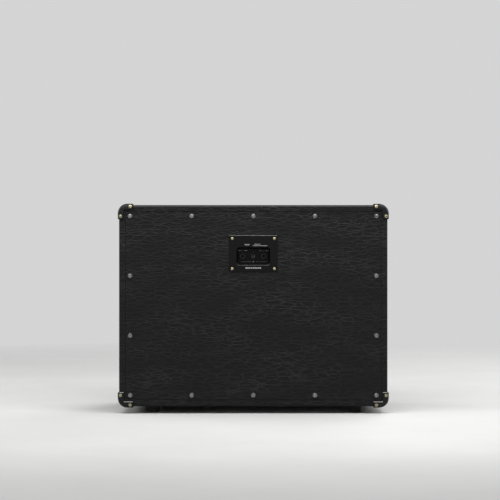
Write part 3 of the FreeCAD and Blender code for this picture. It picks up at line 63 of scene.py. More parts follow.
# %% Camera
IMAGE_SIDE_PIXELS = 500
FOCAL_PIXELS = 1581.0
SENSOR_MILLIMETRES = 36.0
CAMERA_PLACE = (0.0083, 4.15, 0.414)
LOOK_LEVEL_TO_FRONT = (math.pi / 2, 0.0, math.pi)

camera_lens = bpy.data.cameras.new("photo_camera")
camera_lens.sensor_width = SENSOR_MILLIMETRES
camera_lens.lens = SENSOR_MILLIMETRES * FOCAL_PIXELS / IMAGE_SIDE_PIXELS
camera = bpy.data.objects.new("photo_camera", camera_lens)
camera.location = CAMERA_PLACE
camera.rotation_euler = LOOK_LEVEL_TO_FRONT
bpy.context.scene.collection.objects.link(camera)
bpy.context.scene.camera = camera
bpy.context.scene.view_settings.view_transform = "Standard"
print("camera lens:", round(camera_lens.lens, 1), "mm")

# %% [markdown]
# ## Helpers for node trees
#
# A finish is a small network of nodes. Adding and linking nodes one by one is wordy, so these
# helpers each do one thing that every finish needs: start a material, add a node with its sockets
# filled in, link a socket or give it a plain value, and do a sum.


# %% Node helpers
def new_finish(name):
    """A material with one Principled shader, and its node tree."""
    finish = bpy.data.materials.new(name)
    finish.use_nodes = True
    return finish, finish.node_tree, finish.node_tree.nodes["Principled BSDF"]


def add_node(tree, kind, settings=None, sockets=None):
    """One node with its settings and its unlinked sockets filled in."""
    node = tree.nodes.new(kind)
    for name, value in (settings or {}).items():
        setattr(node, name, value)
    for name, value in (sockets or {}).items():
        node.inputs[name].default_value = value
    return node


def feed(tree, socket, value):
    """Link a socket to another one, or give it a plain value."""
    if isinstance(value, bpy.types.NodeSocket):
        tree.links.new(value, socket)
    else:
        socket.default_value = value


def math_node(tree, operation, *values):
    """A sum, product or other operation on sockets or plain numbers."""
    node = add_node(tree, "ShaderNodeMath", {"operation": operation})
    for socket, value in zip(node.inputs, values):
        feed(tree, socket, value)
    return node.outputs["Value"]


# %% [markdown]
# ## Helpers for patterns
#
# Each finish starts from the piece's own coordinates, so that its pattern stays put when the
# piece moves. The other helpers make cloudy noise, turn a pattern into colour or into a range of
# numbers, and let it raise the surface.

# %% Pattern helpers
EVEN = (1.0, 1.0, 1.0)


def object_space(tree, stretch=EVEN):
    """The piece's own coordinates. A smaller number draws a pattern out along that axis."""
    place = add_node(tree, "ShaderNodeTexCoord")
    mapping = add_node(tree, "ShaderNodeMapping", sockets={"Scale": stretch})
    tree.links.new(place.outputs["Object"], mapping.inputs["Vector"])
    return mapping.outputs["Vector"]


def noise(tree, space, size, detail=4.0, roughness=0.55):
    """Cloudy noise whose blobs are about as wide as the given size."""
    settings = {"Scale": 1.0 / size, "Detail": detail, "Roughness": roughness}
    node = add_node(tree, "ShaderNodeTexNoise", sockets=settings)
    tree.links.new(space, node.inputs["Vector"])
    return node.outputs


def colours(tree, source, stops):
    """A colour ramp over a socket, from (place, colour) stops."""
    node = add_node(tree, "ShaderNodeValToRGB")
    elements = node.color_ramp.elements
    while len(elements) < len(stops):
        elements.new(1.0)
    for element, (place, colour) in zip(elements, stops):
        element.position = place
        element.color = (*colour, 1.0)
    tree.links.new(source, node.inputs["Fac"])
    return node.outputs["Color"]


def spread(tree, source, before, after):
    """A socket mapped from one (low, high) range to another."""
    ends = ("From Min", "From Max", "To Min", "To Max")
    node = add_node(tree, "ShaderNodeMapRange", sockets=dict(zip(ends, before + after)))
    tree.links.new(source, node.inputs["Value"])
    return node.outputs["Result"]


def raise_surface(tree, shader, height, distance):
    """Bump: the surface stands out where the height is large."""
    node = add_node(tree, "ShaderNodeBump", sockets={"Strength": 1.0, "Distance": distance})
    tree.links.new(height, node.inputs["Height"])
    tree.links.new(node.outputs["Normal"], shader.inputs["Normal"])


# %% [markdown]
# ## Floor
#
# The cabinet stands on a plain pale floor. A floor that simply ended would show an edge, so this
# one fades out into the equally pale world. Seen from below it isn't there at all, so that the
# feet can be looked at.

# %% Floor finish
FLOOR_FADE = (1.0, 3.0)
FLOOR_COLOURS = ((0.35, (0.72, 0.72, 0.71)), (0.65, (0.76, 0.76, 0.75)))
FLOOR_MOTTLE = 0.35
FLOOR_ROUGHNESS = 0.9
FLOOR_SPECULAR = 0.1


def floor_finish():
    """Pale paper that turns transparent away from the middle."""
    finish, tree, shader = new_finish("studio_floor")
    space = object_space(tree)
    mottle = colours(tree, noise(tree, space, FLOOR_MOTTLE)["Fac"], FLOOR_COLOURS)
    tree.links.new(mottle, shader.inputs["Base Color"])
    shader.inputs["Roughness"].default_value = FLOOR_ROUGHNESS
    shader.inputs["Specular IOR Level"].default_value = FLOOR_SPECULAR
    reach = add_node(tree, "ShaderNodeVectorMath", {"operation": "LENGTH"})
    tree.links.new(space, reach.inputs[0])
    fade = spread(tree, reach.outputs["Value"], FLOOR_FADE, (0.0, 1.0))
    below = add_node(tree, "ShaderNodeNewGeometry").outputs["Backfacing"]
    clear = add_node(tree, "ShaderNodeBsdfTransparent")
    blend = add_node(tree, "ShaderNodeMixShader")
    tree.links.new(math_node(tree, "MAXIMUM", fade, below), blend.inputs["Fac"])
    tree.links.new(shader.outputs["BSDF"], blend.inputs[1])
    tree.links.new(clear.outputs["BSDF"], blend.inputs[2])
    tree.links.new(blend.outputs["Shader"], tree.nodes["Material Output"].inputs["Surface"])
    return finish


# %% Floor
FLOOR_RADIUS = 4.2
FLOOR_SEGMENTS = 96
FLOOR_DROP = 0.0002


def new_piece(name, bm, finish):
    """An object at the origin from a finished bmesh."""
    mesh = bpy.data.meshes.new(name)
    bm.to_mesh(mesh)
    bm.free()
    mesh.materials.append(finish)
    piece = bpy.data.objects.new(name, mesh)
    bpy.context.scene.collection.objects.link(piece)
    return piece


disc = bmesh.new()
bmesh.ops.create_circle(disc, cap_ends=True, segments=FLOOR_SEGMENTS, radius=FLOOR_RADIUS)
bmesh.ops.translate(disc, verts=disc.verts[:], vec=(0.0, 0.0, -FLOOR_DROP))
floor = new_piece("studio_floor", disc, floor_finish())
print("floor:", round(2 * FLOOR_RADIUS, 1), "m across")

# %% [markdown]
# ## World
#
# The world is the pale room round the floor. The camera and mirror-like surfaces see it at its
# own brightness, while the light that it throws on the object is kept low, so that the lamps
# shape the cabinet. Light Path tells one kind of ray from the other.

# %% World
WORLD_SEEN = (0.66, 0.66, 0.66, 1.0)
WORLD_FILL = (0.22, 0.22, 0.224, 1.0)

world = bpy.data.worlds.new("studio_world")
world.use_nodes = True
bpy.context.scene.world = world
sky = world.node_tree
seen = sky.nodes["Background"]
seen.inputs["Color"].default_value = WORLD_SEEN
fill = add_node(sky, "ShaderNodeBackground", sockets={"Color": WORLD_FILL})
rays = add_node(sky, "ShaderNodeLightPath").outputs
direct = math_node(sky, "MAXIMUM", rays["Is Camera Ray"], rays["Is Glossy Ray"])
direct = math_node(sky, "MAXIMUM", direct, rays["Is Transmission Ray"])
choose = add_node(sky, "ShaderNodeMixShader")
sky.links.new(direct, choose.inputs["Fac"])
sky.links.new(fill.outputs["Background"], choose.inputs[1])
sky.links.new(seen.outputs["Background"], choose.inputs[2])
sky.links.new(choose.outputs["Shader"], sky.nodes["World Output"].inputs["Surface"])
print("world: seen at", WORLD_SEEN[0], "and filling at", WORLD_FILL[0])

# %% [markdown]
# ## Lamps
#
# In the photo the top edge carries one long pale line, and every upward face of the corners is
# bright: the main light is a wide soft box overhead. It hangs close, so that it rakes over the
# upper part of the rear panel and shows its grain, while lower down a box beside the camera takes
# over and the grain all but goes. Another lights the front, and one at each end keeps the sides
# from going dark.

# %% Lamps
LAMP_TARGET = Vector((0.0, 0.15, 0.27))
# Name, place, size and watts of each soft box
LAMPS = (
    ("overhead_box", (0.0, 0.60, 1.28), (2.0, 0.6), 18.0),
    ("camera_side_box", (0.7, 4.3, 1.3), (1.6, 1.2), 15.0),
    ("front_side_box", (-1.4, -2.6, 2.2), (1.8, 1.4), 48.0),
    ("left_end_box", (-2.3, -0.7, 1.3), (1.4, 1.0), 18.0),
    ("right_end_box", (2.3, -0.7, 1.3), (1.4, 1.0), 18.0),
)


def soft_box(name, place, size, watts):
    """A rectangular lamp that faces the cabinet."""
    light = bpy.data.lights.new(name, "AREA")
    light.shape = "RECTANGLE"
    light.size, light.size_y = size
    light.energy = watts
    lamp = bpy.data.objects.new(name, light)
    lamp.location = place
    lamp.rotation_euler = (LAMP_TARGET - Vector(place)).to_track_quat("-Z", "Y").to_euler()
    lamp.visible_camera = False
    bpy.context.scene.collection.objects.link(lamp)


for lamp in LAMPS:
    soft_box(*lamp)
print("lamps:", [lamp[0] for lamp in LAMPS])

# %% [markdown]
# ## Helpers for choosing
#
# Some finishes change over one piece: the grain turns on the sides, and an edge carries a painted
# highlight that the face beside it lacks. The piece's own normal and coordinates say where, once
# they are taken apart into X, Y and Z, and a Mix node chooses between two values by an amount from
# 0 to 1.

# %% Choosing
# A Mix node has two inputs and an output for each kind of data, told apart by their number.
MIX_SOCKETS = {"FLOAT": (2, 3, 0), "VECTOR": (4, 5, 1), "RGBA": (6, 7, 2)}


def split(tree, vector):
    """The outputs X, Y and Z of a vector."""
    node = add_node(tree, "ShaderNodeSeparateXYZ")
    tree.links.new(vector, node.inputs["Vector"])
    return node.outputs


def facing(tree):
    """The X, Y and Z of the way that the surface faces, in the piece's own directions."""
    return split(tree, add_node(tree, "ShaderNodeTexCoord").outputs["Normal"])


def mix(tree, kind, amount, first, second):
    """The first value where the amount is 0, and the second where it is 1."""
    node = add_node(tree, "ShaderNodeMix", {"data_type": kind})
    first_input, second_input, output = MIX_SOCKETS[kind]
    tree.links.new(amount, node.inputs["Factor"])
    feed(tree, node.inputs[first_input], first)
    feed(tree, node.inputs[second_input], second)
    return node.outputs[output]


# %% [markdown]
# ## Grain of the vinyl covering
#
# The cabinet is covered in black vinyl pressed with a bark-like grain: a net of raised wrinkles
# drawn out sideways, with flat islands between them. Under a raking light the upper side of a
# wrinkle is a bright hairline and its lower side a dark one, so the grain has to be relief, and
# colour hardly matters. A stretched Voronoi pattern gives such a net, as the distance to the
# nearest cell edge. A slow noise bends its lines. The grain runs across the panels. On the two
# sides, whose normals point along X, it runs front to back instead.

# %% Vinyl grain
VINYL_STRETCH = 3.4
SIDE_NORMAL = 0.7
WRINKLE_REACH = 0.20
WARP_DETAIL = 2.0
NOISE_MIDDLE = (0.5, 0.5, 0.5)


def grain_space(tree):
    """Object coordinates drawn out across the panels, or front to back on the two sides."""
    across = object_space(tree, (1.0, VINYL_STRETCH, VINYL_STRETCH))
    along = object_space(tree, (VINYL_STRETCH, 1.0, VINYL_STRETCH))
    sideways = math_node(tree, "ABSOLUTE", facing(tree)["X"])
    on_side = math_node(tree, "GREATER_THAN", sideways, SIDE_NORMAL)
    return mix(tree, "VECTOR", on_side, across, along)


def warped(tree, space, size, reach):
    """Coordinates pushed about by a slow noise."""
    push = noise(tree, space, size, WARP_DETAIL)["Color"]
    centred = add_node(tree, "ShaderNodeVectorMath", {"operation": "SUBTRACT"})
    tree.links.new(push, centred.inputs[0])
    centred.inputs[1].default_value = NOISE_MIDDLE
    shift = add_node(tree, "ShaderNodeVectorMath", {"operation": "MULTIPLY_ADD"})
    tree.links.new(centred.outputs["Vector"], shift.inputs[0])
    shift.inputs[1].default_value = (reach, reach, reach)
    tree.links.new(space, shift.inputs[2])
    return shift.outputs["Vector"]


def wrinkle_net(tree, space, cell):
    """Raised lines between stretched cells: 1 on a line, 0 inside a cell."""
    cells = add_node(
        tree,
        "ShaderNodeTexVoronoi",
        {"feature": "DISTANCE_TO_EDGE"},
        {"Scale": 1.0 / cell, "Randomness": 1.0},
    )
    tree.links.new(space, cells.inputs["Vector"])
    return spread(tree, cells.outputs["Distance"], (0.0, WRINKLE_REACH), (1.0, 0.0))


# %% [markdown]
# ## Rims of the vinyl covering
#
# Round the rear and front openings the vinyl is folded over an edge. On these rims a paler colour
# is painted as a highlight, and it also lifts the shade in the seam round the panel, so that the
# seam hardly shows. The top edge gets the same painted highlight, while the outer edges at the
# sides and the foot keep their black. The normal finds the rims: on a rim the surface turns
# between facing along Y and facing away from it.

# %% Rims with a painted highlight
# Pale vinyl colour painted on the rims as a highlight.
RIM_HIGHLIGHT_VINYL = (0.042, 0.042, 0.043, 1.0)
RIM_STARTS = (0.15, 0.45)
RIM_ENDS = (0.985, 0.90)
BLACK_SIDES = (0.328, 0.332)
BLACK_FOOT = (0.030, 0.026)


def painted_rim_highlight(tree, under):
    """A painted highlight on the rims, but not on the outer edges at the sides and the foot."""
    lengthways = math_node(tree, "ABSOLUTE", facing(tree)["Y"])
    starts = spread(tree, lengthways, RIM_STARTS, (0.0, 1.0))
    ends = spread(tree, lengthways, RIM_ENDS, (0.0, 1.0))
    place = split(tree, object_space(tree))
    inside = spread(tree, math_node(tree, "ABSOLUTE", place["X"]), BLACK_SIDES, (1.0, 0.0))
    above = spread(tree, place["Z"], BLACK_FOOT, (1.0, 0.0))
    rims = math_node(tree, "MULTIPLY", starts, ends)
    highlit_share = math_node(tree, "MULTIPLY", inside, above)
    return mix(tree, "RGBA", math_node(tree, "MULTIPLY", rims, highlit_share), under, RIM_HIGHLIGHT_VINYL)


# %% [markdown]
# ## Vinyl finish
#
# One net would look too regular, so a coarse and a fine one are added, and a slow noise lets the
# relief come and go. The same height gives the colour, the gloss and the bump: as on the real
# covering, a raised line is smoother than the ground, and its crest is painted paler as a
# highlight.

# %% Vinyl
NET_CELLS = (0.031, 0.0155)
NET_SHARES = (0.65, 0.35)
WARP_SIZE = 0.045
WARP_REACH = 0.020
SWELL_SIZE = 0.16
SWELL_NOISE = (0.32, 0.66)
SWELL_AMOUNTS = (0.5, 1.05)
VINYL_RELIEF = 0.0010
VINYL_HEIGHTS = (0.1, 0.9)
VINYL_GLOSS = (0.62, 0.40)
VINYL_SPECULAR = 0.155
# The palest stop paints a highlight on the crests of the wrinkles.
VINYL_COLOURS_WITH_CREST_HIGHLIGHT = (
    (0.05, (0.0048, 0.0048, 0.0051)),
    (0.50, (0.0072, 0.0072, 0.0076)),
    (0.95, (0.0195, 0.0195, 0.0200)),
)


def vinyl_finish():
    """Black vinyl with a pressed, sideways grain."""
    finish, tree, shader = new_finish("bark_vinyl")
    space = warped(tree, grain_space(tree), WARP_SIZE, WARP_REACH)
    nets = [
        math_node(tree, "MULTIPLY", wrinkle_net(tree, space, cell), share)
        for cell, share in zip(NET_CELLS, NET_SHARES)
    ]
    swell = spread(tree, noise(tree, space, SWELL_SIZE)["Fac"], SWELL_NOISE, SWELL_AMOUNTS)
    height = math_node(tree, "MULTIPLY", math_node(tree, "ADD", *nets), swell)
    black = colours(tree, height, VINYL_COLOURS_WITH_CREST_HIGHLIGHT)
    tree.links.new(painted_rim_highlight(tree, black), shader.inputs["Base Color"])
    tree.links.new(spread(tree, height, VINYL_HEIGHTS, VINYL_GLOSS), shader.inputs["Roughness"])
    shader.inputs["Specular IOR Level"].default_value = VINYL_SPECULAR
    raise_surface(tree, shader, height, VINYL_RELIEF)
    return finish


VINYL = vinyl_finish()
print("vinyl: wrinkles", [cell * 1000 for cell in NET_CELLS], "mm long")

# %% [markdown]
# ## One recipe for grained finishes
#
# Moulded plastic, rubber, paint, cast ferrite, paper and metal differ in colour and gloss, but
# each has the same three things: a fine grain, slow blotches from handling or ageing, and a gloss
# that follows both. One function holds that recipe, and each finish below gives it real sizes:
# how wide a grain and a blotch are, and how high the grain stands.

# %% Grained finish
GRAIN_DETAIL, GRAIN_ROUGHNESS = 6.0, 0.65
BLOTCH_DETAIL = 3.0
GRAIN_SHARE, BLOTCH_SHARE = 0.5, 0.5
PATTERN_ENDS = (0.35, 0.65)


def grained_finish(
    name, dark, light, grain, blotch, gloss, relief, metallic=0.0, specular=0.5, stretch=EVEN
):
    """A finish whose colour, roughness and relief follow a fine grain and slow blotches."""
    finish, tree, shader = new_finish(name)
    space = object_space(tree, stretch)
    fine = noise(tree, space, grain, GRAIN_DETAIL, GRAIN_ROUGHNESS)["Fac"]
    slow = noise(tree, space, blotch, BLOTCH_DETAIL)["Fac"]
    fine_part = math_node(tree, "MULTIPLY", fine, GRAIN_SHARE)
    slow_part = math_node(tree, "MULTIPLY", slow, BLOTCH_SHARE)
    pattern = math_node(tree, "ADD", fine_part, slow_part)
    stops = tuple(zip(PATTERN_ENDS, (dark, light)))
    tree.links.new(colours(tree, pattern, stops), shader.inputs["Base Color"])
    tree.links.new(spread(tree, pattern, PATTERN_ENDS, gloss), shader.inputs["Roughness"])
    shader.inputs["Metallic"].default_value = metallic
    shader.inputs["Specular IOR Level"].default_value = specular
    raise_surface(tree, shader, fine, relief)
    return finish


# %% [markdown]
# ## Painted edge highlights
#
# The plate's top edge, the lip of its pan and the ledges of the lower corners read as thin pale
# lines from behind, where their rounded edges catch the overhead light. Here that highlight is
# painted into the colour. The piece's own normal tells where a surface turns from facing out to
# facing up, and its height sets how strong the painted highlight is: strongest low on the corners,
# and high on the plate.

# %% Painted edge highlights
# Pale colour painted on upward-facing edges as a highlight of the overhead light.
EDGE_HIGHLIGHT = (0.40, 0.395, 0.38, 1.0)
EDGE_HIGHLIGHT_PATCH = 0.012
PATCH_NOISE = (0.3, 0.7)
PATCH_AMOUNTS = (0.75, 1.0)
LOOKS_UP = (0.25, 0.70)
LOOKS_OUT = (0.15, 0.45)


def painted_edge_highlight(finish, out, heights, amounts):
    """Paint a pale highlight on edges that look up and out along an axis, by an amount per height.
    """
    tree = finish.node_tree
    base = tree.nodes["Principled BSDF"].inputs["Base Color"]
    under = base.links[0].from_socket
    ways = facing(tree)
    upward = spread(tree, ways["Z"], LOOKS_UP, (0.0, 1.0))
    outward = spread(tree, math_node(tree, "ABSOLUTE", ways[out]), LOOKS_OUT, (0.0, 1.0))
    space = object_space(tree)
    highlight_by_height = spread(tree, split(tree, space)["Z"], heights, amounts)
    patches = spread(tree, noise(tree, space, EDGE_HIGHLIGHT_PATCH)["Fac"], PATCH_NOISE, PATCH_AMOUNTS)
    edge = math_node(tree, "MULTIPLY", upward, outward)
    wear_and_highlight = math_node(tree, "MULTIPLY", highlight_by_height, patches)
    amount = math_node(tree, "MULTIPLY", edge, wear_and_highlight)
    tree.links.new(mix(tree, "RGBA", amount, under, EDGE_HIGHLIGHT), base)


# %% [markdown]
# ## Plastics and rubber
#
# Corner protectors and handles are moulded with a fine texture that hides scratches, and the
# handles' is the coarser. Their upward edges carry a painted highlight, strongest low on the
# corners and high on the handles. The sockets' plastic is smooth, the feet are dull rubber, and a
# foam gasket sits under each driver.

# %% Plastics and rubber
CORNER_PLASTIC = grained_finish(
    "corner_plastic", dark=(0.0035, 0.0035, 0.004), light=(0.007, 0.007, 0.0075),
    grain=0.0007, blotch=0.02, gloss=(0.32, 0.44), relief=0.00010, specular=0.2,
)
HANDLE_PLASTIC = grained_finish(
    "handle_plastic", dark=(0.0045, 0.0045, 0.0050), light=(0.0135, 0.0135, 0.0140),
    grain=0.0022, blotch=0.018, gloss=(0.36, 0.60), relief=0.00035, specular=0.3,
)
JACK_PLASTIC = grained_finish(
    "jack_plastic", dark=(0.005, 0.005, 0.0055), light=(0.009, 0.009, 0.0095),
    grain=0.0005, blotch=0.01, gloss=(0.30, 0.42), relief=0.00004, specular=0.22,
)
SLIDER_PLASTIC = grained_finish(
    "slider_plastic", dark=(0.020, 0.020, 0.020), light=(0.038, 0.038, 0.037),
    grain=0.0006, blotch=0.004, gloss=(0.35, 0.5), relief=0.00004, specular=0.4,
)
RUBBER = grained_finish(
    "foot_rubber", dark=(0.008, 0.008, 0.008), light=(0.020, 0.020, 0.019),
    grain=0.0006, blotch=0.012, gloss=(0.7, 0.85), relief=0.0001, specular=0.3,
)
GASKET = grained_finish(
    "gasket_foam", dark=(0.010, 0.010, 0.011), light=(0.024, 0.024, 0.025),
    grain=0.0008, blotch=0.01, gloss=(0.85, 0.95), relief=0.0003, specular=0.2,
)
PLASTICS = (CORNER_PLASTIC, HANDLE_PLASTIC, JACK_PLASTIC, SLIDER_PLASTIC, RUBBER, GASKET)
# Painted highlight on the upward edges of the lower corners and of the handles.
painted_edge_highlight(CORNER_PLASTIC, out="Y", heights=(0.10, 0.20), amounts=(1.0, 0.0))
painted_edge_highlight(HANDLE_PLASTIC, out="X", heights=(0.24, 0.36), amounts=(0.10, 0.30))
print("plastics:", [finish.name for finish in PLASTICS])

# %% [markdown]
# ## Metals and paint
#
# The metals that show are the screws: brass-plated ones in the corners and the plate, nickel cup
# washers round the panel, and black ones in the handles. Plating is never one even tone, so each
# has small darker spots. The pressed plate and the baskets are painted. The rest works inside:
# bolts, contacts, magnets and coils, whose grain is drawn out along the turns of the wire.

# %% Metals that show
PLATE_PAINT = grained_finish(
    "plate_paint", dark=(0.0029, 0.0029, 0.0032), light=(0.0050, 0.0050, 0.0053),
    grain=0.0005, blotch=0.03, gloss=(0.36, 0.48), relief=0.00005, specular=0.10,
)
BRASS = grained_finish(
    "brass_plating", dark=(0.265, 0.243, 0.13), light=(0.46, 0.43, 0.275),
    grain=0.0012, blotch=0.006, gloss=(0.32, 0.46), relief=0.00004, metallic=1.0,
)
NICKEL = grained_finish(
    "nickel_plating", dark=(0.14, 0.14, 0.14), light=(0.28, 0.28, 0.28),
    grain=0.0012, blotch=0.006, gloss=(0.2, 0.34), relief=0.00003, metallic=1.0,
)
BLACK_STEEL = grained_finish(
    "black_steel", dark=(0.015, 0.015, 0.016), light=(0.035, 0.035, 0.037),
    grain=0.0008, blotch=0.005, gloss=(0.35, 0.5), relief=0.00004, metallic=0.6,
)
# Painted highlight on the plate's upward edges, strongest at its top.
painted_edge_highlight(PLATE_PAINT, out="Y", heights=(0.38, 0.45), amounts=(0.35, 1.0))
print("metals:", [finish.name for finish in (PLATE_PAINT, BRASS, NICKEL, BLACK_STEEL)])

# %% Metals inside
ZINC = grained_finish(
    "zinc_plating", dark=(0.42, 0.43, 0.44), light=(0.62, 0.63, 0.64),
    grain=0.0015, blotch=0.008, gloss=(0.32, 0.48), relief=0.00005, metallic=1.0,
)
CONTACT = grained_finish(
    "contact_brass", dark=(0.55, 0.43, 0.2), light=(0.72, 0.6, 0.34),
    grain=0.0008, blotch=0.004, gloss=(0.22, 0.34), relief=0.00002, metallic=1.0,
)
MOTOR_STEEL = grained_finish(
    "motor_steel", dark=(0.30, 0.30, 0.31), light=(0.46, 0.46, 0.47),
    grain=0.0010, blotch=0.02, gloss=(0.35, 0.5), relief=0.00006, metallic=1.0,
)
BASKET_PAINT = grained_finish(
    "basket_paint", dark=(0.012, 0.012, 0.013), light=(0.024, 0.024, 0.025),
    grain=0.0010, blotch=0.02, gloss=(0.3, 0.45), relief=0.00008,
)
FERRITE = grained_finish(
    "ferrite", dark=(0.018, 0.018, 0.019), light=(0.045, 0.044, 0.043),
    grain=0.0012, blotch=0.015, gloss=(0.6, 0.8), relief=0.0002,
)
COIL = grained_finish(
    "coil_winding", dark=(0.40, 0.17, 0.08), light=(0.58, 0.28, 0.13),
    grain=0.0006, blotch=0.005, gloss=(0.3, 0.42), relief=0.00003, metallic=1.0,
    stretch=(1.0, 6.0, 1.0),
)
INSIDE_METALS = (ZINC, CONTACT, MOTOR_STEEL, BASKET_PAINT, FERRITE, COIL)
print("inside metals:", [finish.name for finish in INSIDE_METALS])

# %% [markdown]
# ## Paper, cloth and wire
#
# A cone is pressed from paper pulp, so it is dull and slightly mottled. The ring round it and the
# spider behind it are cloth stiffened with a brown resin. Wires have a smooth sleeve, and the
# piping round the front cloth is a pale vinyl cord.

# %% Paper, cloth and wire
CONE_PAPER = grained_finish(
    "cone_paper", dark=(0.020, 0.019, 0.018), light=(0.055, 0.052, 0.048),
    grain=0.0016, blotch=0.012, gloss=(0.8, 0.92), relief=0.0003, specular=0.2,
)
SURROUND_CLOTH = grained_finish(
    "treated_cloth", dark=(0.014, 0.012, 0.010), light=(0.040, 0.032, 0.024),
    grain=0.0008, blotch=0.006, gloss=(0.55, 0.75), relief=0.0002, specular=0.3,
)
WIRE = grained_finish(
    "wire_sleeve", dark=(0.010, 0.010, 0.011), light=(0.020, 0.020, 0.022),
    grain=0.0010, blotch=0.02, gloss=(0.4, 0.55), relief=0.00004,
)
PIPING = grained_finish(
    "piping_vinyl", dark=(0.52, 0.50, 0.44), light=(0.66, 0.64, 0.57),
    grain=0.0011, blotch=0.03, gloss=(0.45, 0.6), relief=0.0001, specular=0.4,
)
print("soft finishes:", [finish.name for finish in (CONE_PAPER, SURROUND_CLOTH, WIRE, PIPING)])

# %% [markdown]
# ## Wood
#
# The boards are birch ply and the battens pine. Both show grain drawn out along the board: a
# stretched noise gives the streaks. Ply also has its plies, thin layers seen on the edges, which
# a fine band pattern through the wood suggests.

# %% Wood
WOOD_STRETCH = (1.0, 9.0, 9.0)
WOOD_WARP_SIZE = 0.3
WOOD_WARP_REACH = 0.05
STREAK_DETAIL, STREAK_ROUGHNESS = 8.0, 0.7
STREAK_SHARE, BAND_SHARE = 0.75, 0.25
PLY_LAYER = 0.0016
BAND_SCALE = 0.16 / PLY_LAYER
BAND_DISTORTION = 3.0
WOOD_ENDS = (0.3, 0.7)
WOOD_GLOSS = (0.75, 0.6)


def wood_finish(name, dark, light, streak, relief):
    """Planed wood with streaks along X and a faint figure."""
    finish, tree, shader = new_finish(name)
    stretched = object_space(tree, WOOD_STRETCH)
    space = warped(tree, stretched, WOOD_WARP_SIZE, WOOD_WARP_REACH)
    streaks = noise(tree, space, streak, STREAK_DETAIL, STREAK_ROUGHNESS)["Fac"]
    band_sockets = {"Scale": BAND_SCALE, "Distortion": BAND_DISTORTION}
    bands = add_node(tree, "ShaderNodeTexWave", {"bands_direction": "DIAGONAL"}, band_sockets)
    tree.links.new(space, bands.inputs["Vector"])
    streak_part = math_node(tree, "MULTIPLY", streaks, STREAK_SHARE)
    band_part = math_node(tree, "MULTIPLY", bands.outputs["Fac"], BAND_SHARE)
    figure = math_node(tree, "ADD", streak_part, band_part)
    stops = tuple(zip(WOOD_ENDS, (dark, light)))
    tree.links.new(colours(tree, figure, stops), shader.inputs["Base Color"])
    tree.links.new(spread(tree, figure, WOOD_ENDS, WOOD_GLOSS), shader.inputs["Roughness"])
    raise_surface(tree, shader, figure, relief)
    return finish


PLYWOOD = wood_finish(
    "birch_ply", dark=(0.36, 0.24, 0.13), light=(0.58, 0.44, 0.28), streak=0.03, relief=0.0003
)
PINE = wood_finish(
    "pine", dark=(0.42, 0.27, 0.13), light=(0.66, 0.48, 0.27), streak=0.05, relief=0.0004
)
print("woods:", PLYWOOD.name, PINE.name)

# %% [markdown]
# ## Which solid gets which finish
#
# A solid whose shape is right keeps its mesh and only changes its material. Listing the finishes
# with their solids, and not the other way round, makes it easy to see that nothing was forgotten:
# the solids that the print names as left over are the ones that are replaced further down.

# %% Dress the solids
SIDES = ("left", "right")
SIDE_BOARDS = [f"{side}_side_board" for side in SIDES]
DRESSING = (
    (VINYL, ["cabinet_vinyl", "back_panel_vinyl"]),
    (PLYWOOD, ["top_board", "bottom_board", *SIDE_BOARDS, "back_board", "baffle_board"]),
    (PINE, ["back_battens", "baffle_battens", "centre_post"]),
    (HANDLE_PLASTIC, [f"{side}_handle" for side in SIDES]),
    (JACK_PLASTIC, ["left_jack", "right_jack", "jack_nuts", "switch_body"]),
    (SLIDER_PLASTIC, ["switch_slider"]),
    (RUBBER, ["rubber_feet"]),
    (GASKET, ["driver_gaskets"]),
    (PLATE_PAINT, ["jack_plate"]),
    (BRASS, ["corner_screws", "jack_plate_screws"]),
    (NICKEL, ["back_panel_screws", "back_panel_washers"]),
    (BLACK_STEEL, ["handle_screws", "switch_screws", "baffle_screws"]),
    (ZINC, ["foot_washers", "foot_screws", "driver_bolts", "driver_tee_nuts"]),
    (CONTACT, ["jack_lugs", "driver_terminals", "left_jack_tip_spring", "right_jack_tip_spring"]),
    (MOTOR_STEEL, [f"{side}_{piece}" for side in SIDES for piece in ("top_plate", "yoke")]),
    (BASKET_PAINT, [f"{side}_basket" for side in SIDES]),
    (FERRITE, [f"{side}_magnet" for side in SIDES]),
    (COIL, [f"{side}_voice_coil" for side in SIDES]),
    (CONE_PAPER, [f"{side}_{piece}" for side in SIDES for piece in ("cone", "dust_cap")]),
    (SURROUND_CLOTH, [f"{side}_{piece}" for side in SIDES for piece in ("surround", "spider")]),
    (WIRE, ["speaker_wires"]),
    (PIPING, ["grille_piping"]),
)


def dress(node, finish):
    """Give every material slot of a solid the same finish."""
    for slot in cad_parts[node].material_slots:
        slot.material = finish


for finish, nodes in DRESSING:
    for node in nodes:
        dress(node, finish)
dressed = [node for _, nodes in DRESSING for node in nodes]
print("dressed:", len(dressed), "left over:", sorted(set(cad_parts) - set(dressed)))

# %% [markdown]
# ## Corner protectors
#
# The corners are moulded plastic, and a moulding has no sharp edge: each rim is softened by the
# tool it came from. A Bevel needs clean edges, and three legs running into a ball at many angles
# don't give it any. A voxel remesh does not care about edges. It casts the shape again in small
# cubes, a smooth rounds their steps and every rim along with them, and a decimate takes away the
# faces that flat areas don't need.

# %% Corner protectors
CORNER_VOXEL = 0.0006
CORNER_SMOOTHING = 9
CORNER_KEEP_SHARE = 0.3
MERGE_DISTANCE = 0.000002


def merged_copy(node):
    """A solid's mesh with its loose triangles joined."""
    bm = bmesh.new()
    bm.from_mesh(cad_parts[node].data)
    bmesh.ops.remove_doubles(bm, verts=bm.verts[:], dist=MERGE_DISTANCE)
    return bm


def apply_modifiers(piece):
    """Turn a piece's modifiers into its mesh."""
    graph = bpy.context.evaluated_depsgraph_get()
    mesh = bpy.data.meshes.new_from_object(piece.evaluated_get(graph))
    piece.modifiers.clear()
    piece.data = mesh


